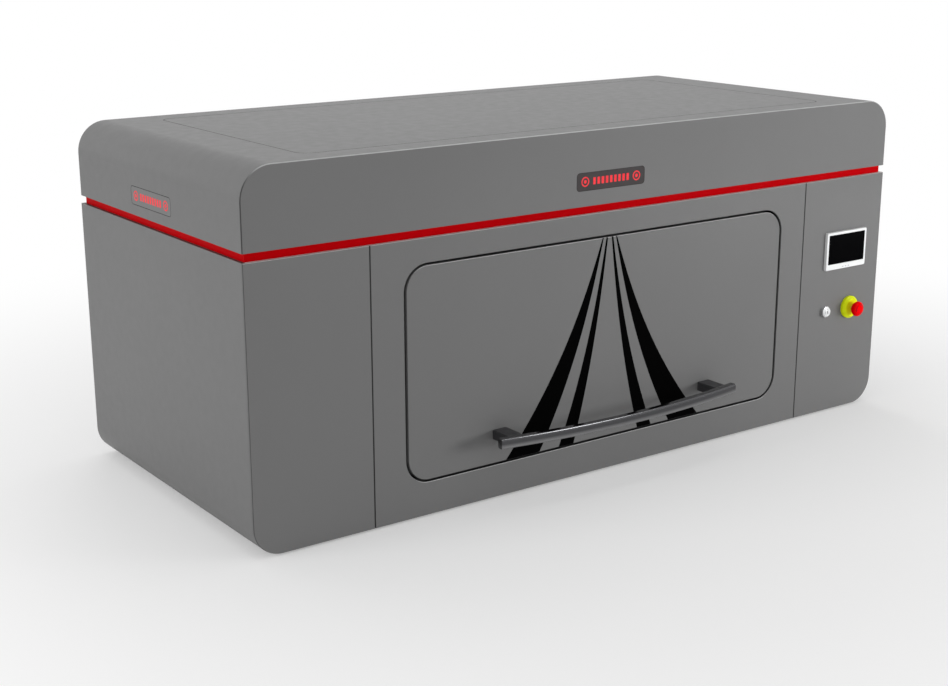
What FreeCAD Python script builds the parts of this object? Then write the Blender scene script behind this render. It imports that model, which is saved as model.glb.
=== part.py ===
import FreeCAD, Part
import os
from math import asin, atan2, cos, degrees, hypot, radians, sin

# A micro x-ray fluorescence spectrometer: a wide shielded cabinet that stands on a bench.
# Millimetres, X to the right as seen from the front, Y to the back, Z up from the bench.

# Outer form
BODY_WIDTH = 1900.0
BODY_DEPTH = 828.0
BODY_HEIGHT = 828.0
FLOOR_CLEARANCE = 4.0
CAP_HEIGHT = 174.0
BAND_HEIGHT = 19.0
BAND_INSET = 9.0
BAND_SHEET = 6.0
TOP_RADIUS = 72.0
BOTTOM_RADIUS = 67.0
SKIN = 2.5
FASCIA = 3.0
DECK = 3.0
EDGE_ROUND = 1.5
CAP_ROUND = 3.0
SEAM_X = 655.0
SEAM_GAP = 1.5
SHADOW_GAP = 1.0
PANEL_FLANGE = 12.0
FLANGE_BOTTOM = 120.0
FLANGE_DROP = 20.0
SIDE_LIP = 90.0
LIP = 30.0
LIP_RADIUS = 8.0
CUT_MARGIN = 1.0

# Door and its handle
DOOR_LAP = 66.5
DOOR_BOTTOM = 87.5
DOOR_DROP = 60.5
DOOR_RADIUS = 55.0
DOOR_GAP = 5.5
DOOR_SKIN = 2.5
DOOR_ROUND = 1.8
DOOR_FLANGE = 15.0
DOOR_BRIM = 3.0
TRAY_DEPTH = 35.0
TRAY_WALL = 4.0
TRAY_CLEARANCE = 8.0
TRAY_RADIUS = 20.0
HANDLE_HEIGHT = 157.0
HANDLE_HALF_LENGTH = 361.0
HANDLE_STANDOFF = 60.0
HANDLE_BOW = 34.0
BAR_DEPTH = 20.0
BAR_HEIGHT = 24.0
BAR_ROUND = 5.0
POST_X = 318.0
POST_WIDTH = 38.0
POST_HEIGHT = 23.0
POST_ROUND = 2.0

# Inlays: each pair gives a stripe's outer and inner edge, counted from the middle of the door
INLAY_DEPTH = 0.8
OUTER_STRIPE_TOP = (22.0, 18.5)
OUTER_STRIPE_FOOT = (300.0, 202.0)
INNER_STRIPE_TOP = (10.5, 5.5)
INNER_STRIPE_FOOT = (145.0, 100.0)
STRIPE_STRAIGHT = 0.62
STRIPE_POWER = 2.4
STRIPE_STEPS = 6

# Hinge of the door: its axis lies behind the front, above the door's top edge
AXIS_BEHIND = 14.0
AXIS_ABOVE = 40.0
ARM_X = 430.0
ARM_WIDTH = 16.0
ARM_REACH = 57.0
ARM_THICK = 14.0
ARM_DROP = 66.0
ARM_WEB = 8.0
ARM_BEND = 12.0
ARM_FOOT_WIDTH = 44.0
ARM_FOOT_DROP = 28.0
ARM_FOOT_THICK = 5.0
HUB_RADIUS = 9.5
PIN_RADIUS = 5.0
PIN_END = 3.0
PIN_CHAMFER = 1.0
RUNNING_FIT = 0.05
CHEEK = 9.0
CHEEK_DROP = 11.0
SIDE_PLAY = 0.5
BEAM_BEHIND = 95.0

# Gas struts, given by their two pivots relative to the hinge axis when the door is shut
STRUT_ASIDE = 40.0
STRUT_DOOR_Y = 16.0
STRUT_DOOR_Z = -280.0
STRUT_BASE_Y = 60.0
STRUT_BASE_Z = -60.0
STRUT_RADIUS = 11.0
STRUT_WALL = 1.4
STRUT_ROD_RADIUS = 5.0
STRUT_EYE_RADIUS = 9.0
STRUT_EYE_WIDTH = 14.0
STRUT_NECK = 14.0
STRUT_EXPOSED = 34.0
STRUT_GLAND = 12.0
STRUT_FLOOR = 8.0
STRUT_PISTON = 10.0
PISTON_AT = 24.0
PISTON_FIT = 0.1
SHAFT_LAP = 4.0
STUD_RADIUS = 4.0
STUD_END = 2.0
LUG_THICK = 5.0
LUG_REACH = 16.0
LUG_INSET = 2.0
BOSS_RADIUS = 7.0
STRUT_BRACKET = 5.0
BRACKET_REACH = 14.0
BRACKET_HALF = 22.0
BRACKET_GAP = 4.0
PLATE_RADIUS = 8.0
OPEN_PIVOT_GAP = 0.3

# Shielded chamber
CHAMBER_HALF_WIDTH = 500.0
CHAMBER_RISE = 16.5
CHAMBER_DROP = 69.5
CHAMBER_REAR = 188.0
SHIELD = 12.0
SEAL = 3.0
SEAL_WIDTH = 10.0
SEAL_GAP = 0.3
CEILING_PASS = 2.0
DECK_PASS = 12.0
SENSOR_X = 200.0
SENSOR_LENGTH = 60.0
SENSOR_DEPTH = 26.0
SENSOR_HEIGHT = 26.0
SENSOR_GAP = 4.0
SENSOR_CORNER = 4.0

# Frame, base and feet
TUBE = 40.0
TUBE_WALL = 3.0
TUBE_ROUND = 4.0
POST_FRONT = 20.0
POST_CLEARANCE = 1.0
POST_REAR = 98.0
LOW_BEAM_REAR = 80.0
BASE_THICK = 8.0
BASE_INSET = 20.0
BASE_RADIUS = 12.0
BASE_SIDE_GAP = 3.0
SLOT_COUNT = 4
SLOT_SPACING = 400.0
SLOT_LENGTH = 120.0
SLOT_WIDTH = 20.0
SLOT_ROUND = 9.0
FOOT_RADIUS = 32.0
FOOT_INSET_X = 170.0
FOOT_INSET_Y = 80.0
FOOT_CHAMFER = 1.0

# Stage
STAGE_BASE_HALF_X = 310.0
STAGE_MARGIN = 35.0
STAGE_PLATE = 12.0
PLATE_CORNER = 8.0
RAIL_WIDTH = 20.0
RAIL_HEIGHT = 15.0
RAIL_WAIST = 13.0
RAIL_BEVEL = 2.0
BLOCK_CORNER = 2.0
RAIL_LOWER = 4.0
RAIL_END = 10.0
X_RAIL_END = 5.0
BLOCK_LENGTH = 50.0
BLOCK_WIDTH = 44.0
BLOCK_CLEARANCE = 0.3
RAIL_FOOT_GAP = 4.0
BLOCK_CROWN = 8.0
Y_RAIL_X = 180.0
X_RAIL_Y = 80.0
TRACK_HEIGHT = 8.0
TRACK_HALF = 30.0
TRACK_INSET = 20.0
FORCER_GAP = 1.0
FORCER_HALF = 26.0
FORCER_HALF_LENGTH = 60.0
X_PLATE_HALF = 130.0
X_PLATE_LAP = 4.0
CARRIAGE_HALF_Y = 120.0
COLUMN_RADIUS = 65.0
COLUMN_FLANGE = 14.0
COLUMN_FLANGE_THICK = 8.0
RAM_RADIUS = 55.0
Z_TRAVEL = 60.0
TABLE_HALF_X = 200.0
TABLE_HALF_Y = 150.0
TABLE_THICK = 12.0
TABLE_REST_GAP = 4.0
T_SLOT_SPACING = 90.0
T_SLOT_MOUTH = 6.0
T_SLOT_WIDTH = 11.0
T_SLOT_DEPTH = 7.0
T_SLOT_FLOOR = 3.0

# Measuring head
WORKING_GAP = 12.0
TUBE_RADIUS = 50.0
TUBE_ABOVE_DECK = 80.0
TUBE_FLANGE = 6.0
TUBE_FLANGE_THICK = 9.0
TUBE_SOCKET_RADIUS = 24.0
TUBE_SOCKET_HEIGHT = 26.0
HEAD_SHELF = 10.0
HEAD_SHELF_ABOVE = 99.0
HEAD_SHELF_DROP = 54.0
HEAD_HALF_WIDTH = 150.0
HEAD_BACK = 72.0
HEAD_PLATE = 12.0
HEAD_LOW = 48.0
HEAD_CORNER = 20.0
HEAD_TOP_DEPTH = 50.0
HEAD_TOP_THICK = 8.0
SHELF_HALF_WIDTH = 58.0
SHELF_REACH = 85.0
OPTIC_BORE = 22.0
OPTIC_FIT = 0.1
OPTIC_TIP_RADIUS = 2.5
OPTIC_TAPER = 9.0
OPTIC_TAPER_LENGTH = 40.0
OPTIC_STEP = 2.0
OPTIC_BODY = 16.0
OPTIC_COLLAR = 26.0
OPTIC_COLLAR_HEIGHT = 14.0
DETECTOR_ANGLE = 45.0
DETECTOR_NEAR = 68.0
DETECTOR_FAR = 146.0
DETECTOR_HALF = 25.0
DETECTOR_CORNER = 3.0
DETECTOR_ARM = (95.0, 125.0)
DETECTOR_ARM_LAP = 5.0
DETECTOR_ARM_WIDTH = 24.0
SNOUT_RADIUS = 8.0
SNOUT_NEAR = 24.0
SNOUT_COLLAR_RADIUS = 14.0
SNOUT_COLLAR = 8.0
FIN_COUNT = 5
FIN_SPACING = 11.0
FIN_GROOVE = 4.0
FIN_START = 16.0
FIN_DEPTH = 3.0
CAMERA_ANGLE = 50.0
CAMERA_SPREAD = 28.0
CAMERA_NEAR = 52.0
CAMERA_STEP = 80.0
CAMERA_FAR = 112.0
CAMERA_HUNG_AT = 104.0
LENS_RADIUS = 10.0
CAMERA_RADIUS = 14.0
HANGER_RADIUS = 6.0

# Controls on the right front panel, counted from the middle of that panel
SCREEN_OFFSET = 12.5
SCREEN_Z = 444.0
SCREEN_WIDTH = 151.0
SCREEN_HEIGHT = 100.0
SCREEN_PROUD = 8.0
SCREEN_THICK = 1.2
SCREEN_SUNK = 0.4
SCREEN_CLEARANCE = 0.3
SCREEN_CORNER = 1.5
BEZEL_SIDE = 7.0
BEZEL_FOOT = 15.0
BEZEL_CORNER = 4.0
WINDOW_WIDTH = 110.0
WINDOW_HEIGHT = 60.0
WINDOW_CORNER = 4.0
STOP_OFFSET = 42.5
KEY_OFFSET = -50.0
CONTROL_Z = 282.0
COLLAR_RADIUS = 30.0
COLLAR_PROUD = 14.0
COLLAR_SLOPE = 6.0
COLLAR_SHOULDER = 8.0
STOP_RADIUS = 20.0
STOP_LIFT = 8.0
STOP_HEIGHT = 20.0
SPIGOT_RADIUS = 4.0
SPIGOT_LENGTH = 12.0
BARREL_RADIUS = 11.0
BARREL_LENGTH = 40.0
STEM_RADIUS = 6.0
STEM_BEHIND = 50.0
KEY_RADIUS = 14.5
KEY_BARREL_RADIUS = 10.5
KEY_CORE_RADIUS = 7.0
KEY_PROUD = 10.0
KEY_BEVEL = 2.5
KEY_BARREL = 28.0
KEY_CORE_PROUD = 1.5
KEY_CORE_BEHIND = 24.0
KEYHOLE_HALF_HEIGHT = 4.5
KEYHOLE_HALF_WIDTH = 1.2
KEYHOLE_DEPTH = 9.0
KEYHOLE_ROUND = 1.1

# Indicator lamps in the cap
LAMP_LENGTH = 203.0
LAMP_HEIGHT = 41.0
LAMP_RADIUS = 8.0
LAMP_CLEARANCE = 0.3
LAMP_WALL = 6.0
LAMP_DEPTH = 38.0
LENS_DEPTH = 8.0
FRONT_LAMP_ABOVE = 57.0
SIDE_LAMP_ABOVE = 45.0
SIDE_LAMP_OFFSET = 10.0

# Service panel in the top
SERVICE_SIDE = 181.0
SERVICE_FRONT = 70.0
SERVICE_REAR = 72.0
SERVICE_RADIUS = 30.0
SERVICE_GAP = 1.5
SERVICE_ROUND = 0.8
SEAT_WIDTH = 18.0

# Supplies in the side bays
BAY_INNER_GAP = 47.0
BAY_OUTER_GAP = 105.0
BAY_FRONT = 200.0
GENERATOR_REAR = 288.0
GENERATOR_TOP = 320.0
GENERATOR_CORNER = 6.0
GROOVE_COUNT = 8
GROOVE_DEPTH = 10.0
GROOVE_MARGIN = 20.0
GROOVE_LOW = 60.0
CABLE_SOCKET_RADIUS = 22.0
CABLE_SOCKET_HEIGHT = 30.0
CABLE_SOCKET_BEHIND = 80.0
UNIT_REAR = 228.0
UNIT_TOP = 360.0
UNIT_CORNER = 4.0
LOUVRE_COUNT = 6
LOUVRE_LOW = 80.0
LOUVRE_SPACING = 24.0
LOUVRE_HEIGHT = 9.0
LOUVRE_MARGIN = 38.0
LOUVRE_DEPTH = 6.0

# Rear equipment
FAN_ABOVE_MIDDLE = 10.5
FAN_SIZE = 119.0
FAN_CORNER = 6.0
FAN_SCREW = 52.5
FAN_DEPTH = 38.0
FAN_BORE = 57.0
FAN_HUB = 19.0
FAN_PLATE = 4.0
FAN_ARM = 6.0
FAN_AXLE = 3.0
FAN_NOSE = 9.0
FAN_BLADES = 7
BLADE_THICK = 1.8
BLADE_GAP = 1.0
ROOT_PITCH = 48.0
ROOT_CHORD = 26.0
TIP_PITCH = 28.0
TIP_CHORD = 30.0
GUARD_REACH = 5.0
GUARD_WIRE = 2.4
GUARD_INNER = 16.0
GUARD_SPACING = 14.0
GUARD_RINGS = 4
GUARD_EYE = 4.8
GUARD_EYE_BORE = 2.3
VENT_DROP = 165.0
VENT_ROWS = 7
VENT_SPACING = 16.0
VENT_HEIGHT = 5.0
VENT_HALF_LENGTH = 70.0
VENT_CORNER = 2.4
INLET_X = 500.0
INLET_Z = 90.0
INLET_WIDTH = 58.0
INLET_HEIGHT = 47.0
INLET_DEPTH = 30.0
INSERT_CORNER = 3.0
INSERT_GAP = 0.3
INSERT_FLANGE = 4.0
INSERT_FLANGE_THICK = 2.5
CUP_INSET = 4.0
CUP_WIDTH = 28.0
CUP_HEIGHT = 20.0
CUP_DEPTH = 16.0
CUP_CORNER = 6.0
CUP_BACK_CORNER = 2.0
PIN_SPACING = 6.0
PIN_WIDTH = 2.0
PIN_HEIGHT = 3.0
PIN_LENGTH = 14.0
PIN_OFFSET = 4.0
ROCKER_OFFSET = 17.0
ROCKER_SUNK = 4.0
ROCKER_HALF_WIDTH = 6.6
ROCKER_HALF_HEIGHT = 9.0
ROCKER_TIP = 3.5
ROCKER_MIDDLE = 1.5
ROCKER_EDGE = 2.0
ROCKER_KEEL = 6.0
ROCKER_THROW = 24.0
POCKET_HALF_WIDTH = 7.0
POCKET_HALF_HEIGHT = 11.0
SOCKETS_NEAR = 60.0
SOCKETS_WIDTH = 80.0
SOCKETS_HEIGHT = 30.0
SOCKETS_DEPTH = 22.0
SOCKET_GAP = 6.0
SOCKET_WIDTH = 16.0
WIDE_SOCKET_WIDTH = 22.0
SOCKET_HEIGHT = 14.0
SOCKET_DEPTH = 12.0

# Positions that follow
HANDLE_REACH = HANDLE_STANDOFF + HANDLE_BOW + BAR_DEPTH / 2
FRONT = (HANDLE_REACH - BODY_DEPTH - GUARD_REACH) / 2
BACK = FRONT + BODY_DEPTH
HALF = BODY_WIDTH / 2
CAP_BOTTOM = BODY_HEIGHT - CAP_HEIGHT
BAND_BOTTOM = CAP_BOTTOM - BAND_HEIGHT
DECK_BOTTOM = BAND_BOTTOM - DECK
DOOR_TOP = BAND_BOTTOM - DOOR_DROP
DOOR_HALF_WIDTH = CHAMBER_HALF_WIDTH + DOOR_LAP
STRUT_X = CHAMBER_HALF_WIDTH + STRUT_ASIDE
AXIS_Y = FRONT + AXIS_BEHIND
AXIS_Z = DOOR_TOP + AXIS_ABOVE
BRIM_BACK = FRONT + DOOR_FLANGE
TRAY_BACK = BRIM_BACK + TRAY_DEPTH
CHAMBER_FLOOR = DOOR_BOTTOM + CHAMBER_RISE
CHAMBER_CEILING = DOOR_TOP - CHAMBER_DROP
CHAMBER_FRONT = BRIM_BACK + SEAL_GAP + SEAL
CHAMBER_BACK = BACK - CHAMBER_REAR
BASE_BOTTOM = FLOOR_CLEARANCE + SKIN
BASE_TOP = BASE_BOTTOM + BASE_THICK
STAGE_Y = (TRAY_BACK + CHAMBER_BACK) / 2
STAGE_BASE_HALF_Y = (CHAMBER_BACK - TRAY_BACK) / 2 - STAGE_MARGIN
Y_RAIL_FOOT = CHAMBER_FLOOR + STAGE_PLATE
CARRIAGE_STACK = RAIL_HEIGHT + BLOCK_CROWN
Y_PLATE_FOOT = Y_RAIL_FOOT + CARRIAGE_STACK
X_RAIL_FOOT = Y_PLATE_FOOT + STAGE_PLATE
X_PLATE_FOOT = X_RAIL_FOOT + CARRIAGE_STACK
COLUMN_FOOT = X_PLATE_FOOT + STAGE_PLATE
SHELF_Z = CHAMBER_CEILING - HEAD_SHELF_DROP
FOCUS_Z = SHELF_Z - HEAD_SHELF_ABOVE
OPTIC_TIP = FOCUS_Z + WORKING_GAP
TABLE_TOP = FOCUS_Z - Z_TRAVEL
TABLE_FOOT = TABLE_TOP - TABLE_THICK
COLUMN_TOP = TABLE_FOOT - TABLE_REST_GAP
TUBE_TOP = BAND_BOTTOM + TUBE_ABOVE_DECK
POST_INNER = DOOR_HALF_WIDTH + DOOR_GAP + POST_CLEARANCE
POST_OUTER = POST_INNER + TUBE
REAR_POST = BACK - POST_REAR - TUBE
BAY = (POST_OUTER + BAY_INNER_GAP, HALF - BAY_OUTER_GAP)
PANEL_MIDDLE = (SEAM_X + HALF) / 2
SCREEN_X = PANEL_MIDDLE + SCREEN_OFFSET
STOP_X = PANEL_MIDDLE + STOP_OFFSET
KEY_X = PANEL_MIDDLE + KEY_OFFSET
FRONT_LAMP_Z = CAP_BOTTOM + FRONT_LAMP_ABOVE
SIDE_LAMP_Z = CAP_BOTTOM + SIDE_LAMP_ABOVE
SIDE_LAMP_Y = (FRONT + BACK) / 2 + SIDE_LAMP_OFFSET
FAN_X = (POST_OUTER + HALF) / 2
FAN_Z = BAND_BOTTOM / 2 + FAN_ABOVE_MIDDLE + FLOOR_CLEARANCE / 2
VENT_Z = BAND_BOTTOM - VENT_DROP
ROCKER_X = INLET_X + ROCKER_OFFSET


def vec(axis, a, b, c):
    """A point from two in-plane values and the value along the named axis."""
    return {"x": FreeCAD.Vector(c, a, b), "y": FreeCAD.Vector(a, c, b), "z": FreeCAD.Vector(a, b, c)}[axis]


def corner_arc(axis, a, b, radius, start, level):
    """A quarter arc about (a, b) from the start angle, turning anticlockwise."""
    points = []
    for step in (0, 45, 90):
        angle = radians(start + step)
        points.append(vec(axis, a + radius * cos(angle), b + radius * sin(angle), level))
    return Part.Arc(*points).toShape()


def slab(axis, a, b, c, radii=0.0):
    """A rectangle with rounded corners in the plane across the axis, extruded from c[0] to c[1]."""
    if not isinstance(radii, tuple):
        radii = (radii,) * 4
    corners = ((a[0], b[0], 1, 1), (a[1], b[0], -1, 1), (a[1], b[1], -1, -1), (a[0], b[1], 1, -1))
    edges = []
    ends = []
    for (ca, cb, da, db), radius, start in zip(corners, radii, (180, 270, 0, 90)):
        if radius:
            arc = corner_arc(axis, ca + da * radius, cb + db * radius, radius, start, c[0])
            ends.append((arc.Vertexes[0].Point, arc.Vertexes[-1].Point, arc))
        else:
            point = vec(axis, ca, cb, c[0])
            ends.append((point, point, None))
    for index, (first, last, arc) in enumerate(ends):
        if arc:
            edges.append(arc)
        following = ends[(index + 1) % 4][0]
        if last.distanceToPoint(following) > 1e-6:
            edges.append(Part.LineSegment(last, following).toShape())
    face = Part.Face(Part.Wire(Part.__sortEdges__(edges)))
    return face.extrude(vec(axis, 0, 0, c[1] - c[0]))


def box(x, y, z):
    """A plain block between three pairs of limits."""
    return slab("z", x, y, z)


def rod(axis, a, b, c, radius):
    """A cylinder along the named axis from c[0] to c[1]."""
    return Part.makeCylinder(radius, c[1] - c[0], vec(axis, a, b, c[0]), vec(axis, 0, 0, 1))


def about(middle, half):
    """The two limits at one distance on either side of a middle."""
    return (middle - half, middle + half)


def beyond(limits):
    """Limits a little wider than a wall, for a cut that passes through it."""
    return (limits[0] - CUT_MARGIN, limits[1] + CUT_MARGIN)


def outline(axis, points, c):
    """A closed polygon across the axis, extruded from c[0] to c[1]."""
    wire = Part.makePolygon([vec(axis, a, b, c[0]) for a, b in points + points[:1]])
    return Part.Face(wire).extrude(vec(axis, 0, 0, c[1] - c[0]))


def fuse(first, *others):
    """One solid from touching solids, without the seams between them."""
    return first.multiFuse(list(others)).removeSplitter()


def mirror(shape):
    """The same shape on the other side of the middle plane."""
    return shape.mirror(FreeCAD.Vector(0, 0, 0), FreeCAD.Vector(1, 0, 0))


def pair(shape):
    """A shape and its mirror image as two separate solids."""
    return Part.makeCompound([shape, mirror(shape)])


def soften(shape, radius, wanted):
    """Round the edges for which the test holds."""
    return shape.makeFillet(radius, [edge for edge in shape.Edges if wanted(edge)])


SAME_LEVEL = 0.001


def lies_on(edge, axis, level):
    """True when a whole edge lies at one level of an axis."""
    limits = edge.BoundBox
    low = {"x": limits.XMin, "y": limits.YMin, "z": limits.ZMin}[axis]
    high = {"x": limits.XMax, "y": limits.YMax, "z": limits.ZMax}[axis]
    return max(abs(low - level), abs(high - level)) < SAME_LEVEL


def save(name, shape):
    """Write one sub-part under its own name."""
    shape.exportStep("parts/" + name + ".step")


# The lower body: base plate on rubber feet, bent side panels, front panels, rear panel and deck
def base_plate():
    half = HALF - BOTTOM_RADIUS - BASE_SIDE_GAP
    level = (BASE_BOTTOM, BASE_TOP)
    plate = slab("z", (-half, half), (FRONT + BASE_INSET, BACK - BASE_INSET), level, BASE_RADIUS)
    slot_y = about((FRONT + BACK) / 2, SLOT_WIDTH / 2)
    for count in range(SLOT_COUNT):
        middle = (count - (SLOT_COUNT - 1) / 2) * SLOT_SPACING
        slot = slab("z", about(middle, SLOT_LENGTH / 2), slot_y, beyond(level), SLOT_ROUND)
        plate = plate.cut(slot)
    return plate


def rubber_feet():
    feet = []
    for x in (FOOT_INSET_X - HALF, 0.0, HALF - FOOT_INSET_X):
        for y in (FRONT + FOOT_INSET_Y, BACK - FOOT_INSET_Y):
            pad = Part.makeCylinder(FOOT_RADIUS, BASE_BOTTOM, FreeCAD.Vector(x, y, 0))
            rim = [edge for edge in pad.Edges if lies_on(edge, "z", 0.0)]
            feet.append(pad.makeChamfer(FOOT_CHAMFER, rim))
    return Part.makeCompound(feet)


def side_panel():
    """The left panel: one sheet, bent round the bottom edge of the body."""
    y = (FRONT + FASCIA + SHADOW_GAP, BACK - SKIN)
    outer = slab("y", (-HALF, -HALF + SIDE_LIP), (FLOOR_CLEARANCE, BAND_BOTTOM), y, (BOTTOM_RADIUS, 0, 0, 0))
    inner = slab("y", (-HALF + SKIN, -HALF + SIDE_LIP + CUT_MARGIN), (BASE_BOTTOM, BAND_BOTTOM + CUT_MARGIN),
                 beyond(y), (BOTTOM_RADIUS - SKIN, 0, 0, 0))
    return outer.cut(inner)


def front_panel(x, radii, *flanges):
    """A flat front panel with the flanges behind its upright edges."""
    panel = slab("y", x, (FLOOR_CLEARANCE, BAND_BOTTOM), (FRONT, FRONT + FASCIA), radii)
    return fuse(panel, *flanges)


def seam_flange(x_edge, inward):
    """The flange that stiffens a front panel along a seam."""
    x = sorted((x_edge, x_edge + inward * SKIN))
    y = (FRONT + FASCIA, FRONT + FASCIA + PANEL_FLANGE)
    return box(x, y, (FLANGE_BOTTOM, BAND_BOTTOM - FLANGE_DROP))


def round_front(panel):
    """Round all the edges of a panel's front face."""
    return soften(panel, EDGE_ROUND, lambda edge: lies_on(edge, "y", FRONT))


def front_left_panel():
    edge = -SEAM_X - SEAM_GAP / 2
    return round_front(front_panel((-HALF, edge), (BOTTOM_RADIUS, 0, 0, 0), seam_flange(edge, -1)))


def front_centre_panel():
    edge = SEAM_X - SEAM_GAP / 2
    panel = front_panel((-edge, edge), 0.0, seam_flange(edge, -1), seam_flange(-edge, 1))
    hole = slab("y", about(0.0, DOOR_HALF_WIDTH + DOOR_GAP), (DOOR_BOTTOM - DOOR_GAP, DOOR_TOP + DOOR_GAP),
                beyond((FRONT, FRONT + FASCIA)), DOOR_RADIUS + DOOR_GAP)
    return round_front(panel.cut(hole))


def front_right_panel():
    edge = SEAM_X + SEAM_GAP / 2
    panel = round_front(front_panel((edge, HALF), (0, BOTTOM_RADIUS, 0, 0), seam_flange(edge, 1)))
    depth = beyond((FRONT, FRONT + FASCIA))
    panel = panel.cut(rod("y", STOP_X, CONTROL_Z, depth, BARREL_RADIUS + RUNNING_FIT))
    panel = panel.cut(rod("y", KEY_X, CONTROL_Z, depth, KEY_BARREL_RADIUS + RUNNING_FIT))
    across, upward = about(SCREEN_X, WINDOW_WIDTH / 2), about(SCREEN_Z, WINDOW_HEIGHT / 2)
    window = slab("y", across, upward, depth, WINDOW_CORNER)
    return panel.cut(window)


def rear_panel():
    y = (BACK - SKIN, BACK)
    panel = slab("y", (-HALF, HALF), (FLOOR_CLEARANCE, BAND_BOTTOM), y, (BOTTOM_RADIUS, BOTTOM_RADIUS, 0, 0))
    for x in (-FAN_X, FAN_X):
        panel = panel.cut(rod("y", x, FAN_Z, beyond(y), FAN_BORE))
        for row in range(VENT_ROWS):
            z = VENT_Z + VENT_SPACING * row
            vent = slab("y", about(x, VENT_HALF_LENGTH), (z, z + VENT_HEIGHT), beyond(y), VENT_CORNER)
            panel = panel.cut(vent)
    inlet = slab("y", *inlet_limits(0.0), beyond(y), INSERT_CORNER)
    sockets = slab("y", *socket_limits(0.0), beyond(y), INSERT_CORNER)
    return panel.cut(inlet).cut(sockets)


def deck_plate():
    level = (DECK_BOTTOM, BAND_BOTTOM)
    plate = box(about(0.0, HALF - SKIN), (FRONT + FASCIA, BACK - SKIN), level)
    return plate.cut(rod("z", 0.0, STAGE_Y, beyond(level), TUBE_RADIUS + DECK_PASS))


# The recessed band and the top cap with its service panel
def accent_band():
    """Four strips that close the gap between the deck and the cap, set back from both."""
    z = (BAND_BOTTOM, CAP_BOTTOM)
    x = HALF - BAND_INSET
    front = FRONT + BAND_INSET
    back = BACK - BAND_INSET
    strips = [box((-x, x), (front, front + BAND_SHEET), z), box((-x, x), (back - BAND_SHEET, back), z)]
    for side in (-1, 1):
        limits = sorted((side * x, side * (x - BAND_SHEET)))
        strips.append(box(limits, (front + BAND_SHEET, back - BAND_SHEET), z))
    return Part.makeCompound(strips)


def top_cap():
    radii = (0, 0, TOP_RADIUS, TOP_RADIUS)
    cap = slab("y", (-HALF, HALF), (CAP_BOTTOM, BODY_HEIGHT), (FRONT, BACK), radii)
    for face in (FRONT, BACK):
        cap = soften(cap, CAP_ROUND,
                     lambda edge: lies_on(edge, "y", face) and not lies_on(edge, "z", CAP_BOTTOM))
    inner_radius = TOP_RADIUS - SKIN
    inner = slab("y", about(0.0, HALF - SKIN), (CAP_BOTTOM + SKIN, BODY_HEIGHT - SKIN),
                 (FRONT + SKIN, BACK - SKIN), (0, 0, inner_radius, inner_radius))
    cap = cap.cut(inner)
    mouth = slab("z", about(0.0, HALF - LIP), (FRONT + LIP, BACK - LIP),
                 beyond((CAP_BOTTOM, CAP_BOTTOM + SKIN)), LIP_RADIUS)
    cap = cap.cut(mouth)
    seat_z = (BODY_HEIGHT - 2 * SKIN, BODY_HEIGHT - SKIN)
    grow = SERVICE_GAP + SEAT_WIDTH / 2
    seat = slab("z", *service_limits(grow), seat_z, SERVICE_RADIUS + grow)
    shrunk = service_limits(grow - SEAT_WIDTH)
    seat = seat.cut(slab("z", *shrunk, beyond(seat_z), SERVICE_RADIUS))
    opening = slab("z", *service_limits(SERVICE_GAP), (seat_z[1], BODY_HEIGHT + CUT_MARGIN),
                   SERVICE_RADIUS + SERVICE_GAP)
    cap = fuse(cap, seat).cut(opening)
    cap = cap.cut(slab("z", *shrunk, beyond((seat_z[0], BODY_HEIGHT)), SERVICE_RADIUS))
    front_hole = lamp_shape(beyond((FRONT, FRONT + SKIN)), LAMP_CLEARANCE)
    side_hole = side_lamp_shape(beyond((-HALF, -HALF + SKIN)), LAMP_CLEARANCE)
    return cap.cut(front_hole).cut(side_hole)


def service_limits(grow):
    """The service panel's limits in X and in Y, grown by an amount on every side."""
    return about(0.0, HALF - SERVICE_SIDE + grow), (FRONT + SERVICE_FRONT - grow, BACK - SERVICE_REAR + grow)


def service_panel():
    panel = slab("z", *service_limits(0.0), (BODY_HEIGHT - SKIN, BODY_HEIGHT), SERVICE_RADIUS)
    return soften(panel, SERVICE_ROUND, lambda edge: lies_on(edge, "z", BODY_HEIGHT))


def lamp_shape(y, grow):
    """The rounded bar of the front indicator lamp between two depths."""
    length = about(0.0, LAMP_LENGTH / 2 + grow)
    return slab("y", length, about(FRONT_LAMP_Z, LAMP_HEIGHT / 2 + grow), y, LAMP_RADIUS + grow)


def side_lamp_shape(x, grow):
    """The same bar in the left side of the cap."""
    length = about(SIDE_LAMP_Y, LAMP_LENGTH / 2 + grow)
    return slab("x", length, about(SIDE_LAMP_Z, LAMP_HEIGHT / 2 + grow), x, LAMP_RADIUS + grow)


def lamp_lenses():
    front = lamp_shape((FRONT, FRONT + LENS_DEPTH), 0.0)
    side = side_lamp_shape((-HALF, -HALF + LENS_DEPTH), 0.0)
    return Part.makeCompound([front, side])


def lamp_housings():
    """Shallow boxes behind the sheet, open to the lenses, which rest in their mouths."""
    front = lamp_shape((FRONT + SKIN, FRONT + LAMP_DEPTH), LAMP_WALL)
    side = side_lamp_shape((-HALF + SKIN, -HALF + LAMP_DEPTH), LAMP_WALL)
    lenses = lamp_lenses()
    return Part.makeCompound([front.cut(lenses), side.cut(lenses)])


# The controls on the right front panel
def display_bezel():
    face = FRONT - SCREEN_PROUD
    bezel = slab("y", about(SCREEN_X, SCREEN_WIDTH / 2), about(SCREEN_Z, SCREEN_HEIGHT / 2),
                 (face, FRONT), BEZEL_CORNER)
    bezel = soften(bezel, EDGE_ROUND, lambda edge: lies_on(edge, "y", face))
    return bezel.cut(screen_slab(SCREEN_CLEARANCE, SCREEN_SUNK + SCREEN_THICK))


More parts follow.
